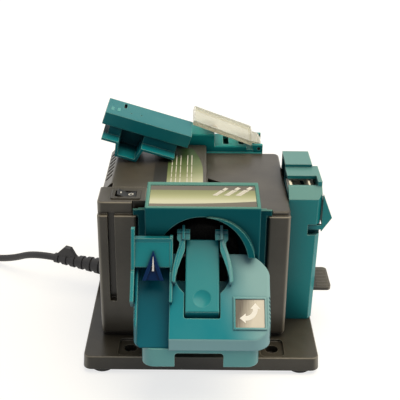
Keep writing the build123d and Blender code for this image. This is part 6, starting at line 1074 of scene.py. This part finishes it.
hump_spot = top_of("top_cover", FIELD_LEFT, HUMP_Y)
rating_board = Board((0, 0, hump_spot.z), ACROSS, BACK)
curve = [field_edge(i / CURVE_STEPS) for i in range(CURVE_STEPS + 1)]
field = [[(FIELD_LEFT, a[1]), a, b, (FIELD_LEFT, b[1])] for a, b in zip(curve, curve[1:])]
band = box(BAND_LEFT, BAND_FRONT, FIELD_LEFT - BAND_LEFT, FIELD_BACK - BAND_FRONT)
rules = [box(x, a, RULE_WIDE, b - a) for x in RULE_AT for a, b in RULE_ENDS]
field_ends = (mm(FIELD_LEFT, FIELD_BACK, 0), mm(FIELD_RIGHT, FIELD_FRONT, 0))
band_ends = (mm(0, BAND_FRONT, 0), mm(0, FIELD_BACK, 0))
field_print = printed_paper("rating_field_print", *field_ends, FIELD_PRINT, RATING_ROUGH)
band_print = printed_paper("rating_band_print", *band_ends, BAND_PRINT, RATING_ROUGH)
lay("rating_field", rating_board, field, field_print, "machine")
lay("rating_band", rating_board, [band], band_print, "machine")
lay("rating_rules", rating_board, rules, silver_ink, "machine", PRINT_THICK)
print("rating sticker", FIELD_RIGHT - BAND_LEFT, "by", FIELD_BACK - FIELD_FRONT, "mm")

# %% [markdown]
# ## The painted highlight in the vee
# A white tapered strip stands in the navy vee of the setting gauge: a painted highlight where the vee's
# ridge catches the light. Two rays find the web of the vee, and the strip is laid on the plane through both.

# %% Painted highlight in the vee
VEE_GLINT_THICK = mm(1.75)
VEE_GLINT_OUTLINE = [(-0.7, 4.5), (0.7, 4.5), (0.55, 9.5), (0.15, 14.8), (-0.15, 14.8), (-0.55, 9.5)]
VEE_GLINT_PAINT = [(0.2, "d8dce4"), (0.9, "ffffff")]
WEB_SHARES = (0.12, 0.45)
WEB_AHEAD = mm(40)
vee_low, vee_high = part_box("lip_gauge")
vee_x = (vee_low[0] + vee_high[0]) / 2
vee_tall = vee_high[2] - vee_low[2]
web = []
for share in WEB_SHARES:
    start = Vector((vee_x, vee_low[1] - WEB_AHEAD, vee_low[2] + share * vee_tall))
    web.append(spot_on("lip_gauge", start, BACK))
needle_board = Board(web[0], ACROSS, web[1] - web[0])
vee_glint_paint = printed_paper("painted_vee_glint", (0, 0, vee_low[2]), (0, 0, vee_high[2]), VEE_GLINT_PAINT)
vee_glint = [VEE_GLINT_OUTLINE]
# Painted highlight: a white strip on the web of the vee.
lay("painted_vee_glint_strip", needle_board, vee_glint, vee_glint_paint, "turret", thick=VEE_GLINT_THICK)
print("needle foot", in_mm(web[0]))

# %% [markdown]
# ## Small marks on the loose pieces
# The blade guide has two short pale bars on its top, where a blade is lined up. A dark leaf under its slot
# is painted shade: it stands for the shade in the hollow guide, so that no light shows through the slot.
# Bars and leaf lie along the tilted top, so two rays along the guide give the board's direction. The clear
# guard has a round mark where the plastic flowed into the mould.

# %% Guide bars and gate mark
GUIDE_BARS = ((-78.6, 47.0), (-73.4, 48.5))
GUIDE_FAR_X = -50.0
BAR_WIDE = 2.7
BAR_LONG = 8.5
BAR_FADE = (mm(-80, 0, 0), mm(-70, 0, 0))
BAR_PRINT = [(0.0, "188f90"), (1.0, "239b99")]
SHADE_LEAF_X = (-73.5, -61.5)
SHADE_LEAF_Y = (57.0, 75.0)
SHADE_LEAF_LIFT = mm(-3.2)
SHADE_LEAF_THICK = mm(0.5)
GATE_AT = (11.3, 80.0)
GATE_RADIUS = 2.3
GATE_STEPS = 24
GATE_FADE = (mm(0, 70, 0), mm(0, 90, 0))
GATE_PRINT = [(0.0, "a8a392"), (1.0, "bdb8a8")]
first_x, first_y = GUIDE_BARS[0]
guide_top = top_of("blade_guide", first_x, first_y)
guide_way = top_of("blade_guide", GUIDE_FAR_X, first_y) - guide_top
guide_board = Board(guide_top, guide_way, BACK)


def along_guide(x):
    """Where a place at x lies on the guide's tilted board."""
    return (x - first_x) / guide_way.normalized().x


def board_on(node, x, y, reach=2.0):
    """A board on whatever face of a node lies under the point, square to that face."""
    here = top_of(node, x, y)
    return Board(here, top_of(node, x + reach, y) - here, top_of(node, x, y + reach) - here)


bars = [box(along_guide(x), y - first_y, BAR_WIDE, BAR_LONG) for x, y in GUIDE_BARS]
slot_shade_from, slot_shade_to = [along_guide(x) for x in SHADE_LEAF_X]
slot_shade = [box(slot_shade_from, SHADE_LEAF_Y[0] - first_y, slot_shade_to - slot_shade_from, SHADE_LEAF_Y[1] - SHADE_LEAF_Y[0])]
gate_ring = [on_circle(GATE_RADIUS, 360 * k / GATE_STEPS) for k in range(GATE_STEPS)]
gate_board = board_on("clear_guard", *GATE_AT)
pale_teal = printed_paper("pale_teal_moulding", *BAR_FADE, BAR_PRINT)
milky = printed_paper("milky_polystyrene", *GATE_FADE, GATE_PRINT)
# Painted shade: a dark leaf in the guide's slot.
lay("painted_slot_shade", guide_board, slot_shade, blacked_steel, "loose_guide", SHADE_LEAF_LIFT, SHADE_LEAF_THICK)
lay("guide_bars", guide_board, bars, pale_teal, "loose_guide")
lay("gate_mark", gate_board, [gate_ring], milky, "knife_guard")
print("guide bars", len(bars), "gate mark radius", GATE_RADIUS, "mm")

# %% [markdown]
# ## Marks on the rocker switch
# A short bar on the raised half of the rocker means on, a ring on the other half means off. Each half of
# the rocker leans its own way, so each mark gets its own board, found by three rays.

# %% Switch marks
ROCKER_X = -59.9
ROCKER_Y = -39.6
MARK_AWAY = 3.9
MARK_REACH = 1.0
ON_WIDE = 0.6
ON_TALL = 3.2
ON_CORNER = 0.2
RING_OUT = 2.0
RING_IN = 1.45
RING_STEPS = 24
on_board = board_on("switch_rocker", ROCKER_X - MARK_AWAY, ROCKER_Y, MARK_REACH)
off_board = board_on("switch_rocker", ROCKER_X + MARK_AWAY, ROCKER_Y, MARK_REACH)
ring = []
for i in range(RING_STEPS):
    a, b = (360 * k / RING_STEPS for k in (i, i + 1))
    piece = [on_circle(RING_IN, a), on_circle(RING_OUT, a), on_circle(RING_OUT, b), on_circle(RING_IN, b)]
    ring.append(piece)
on_bar = rounded(ON_WIDE, ON_TALL, ON_CORNER)
lay("on_mark", on_board, [on_bar], white_ink, "rocker")
lay("off_mark", off_board, ring, white_ink, "rocker")
print("switch marks at", in_mm(on_board.centre), in_mm(off_board.centre))
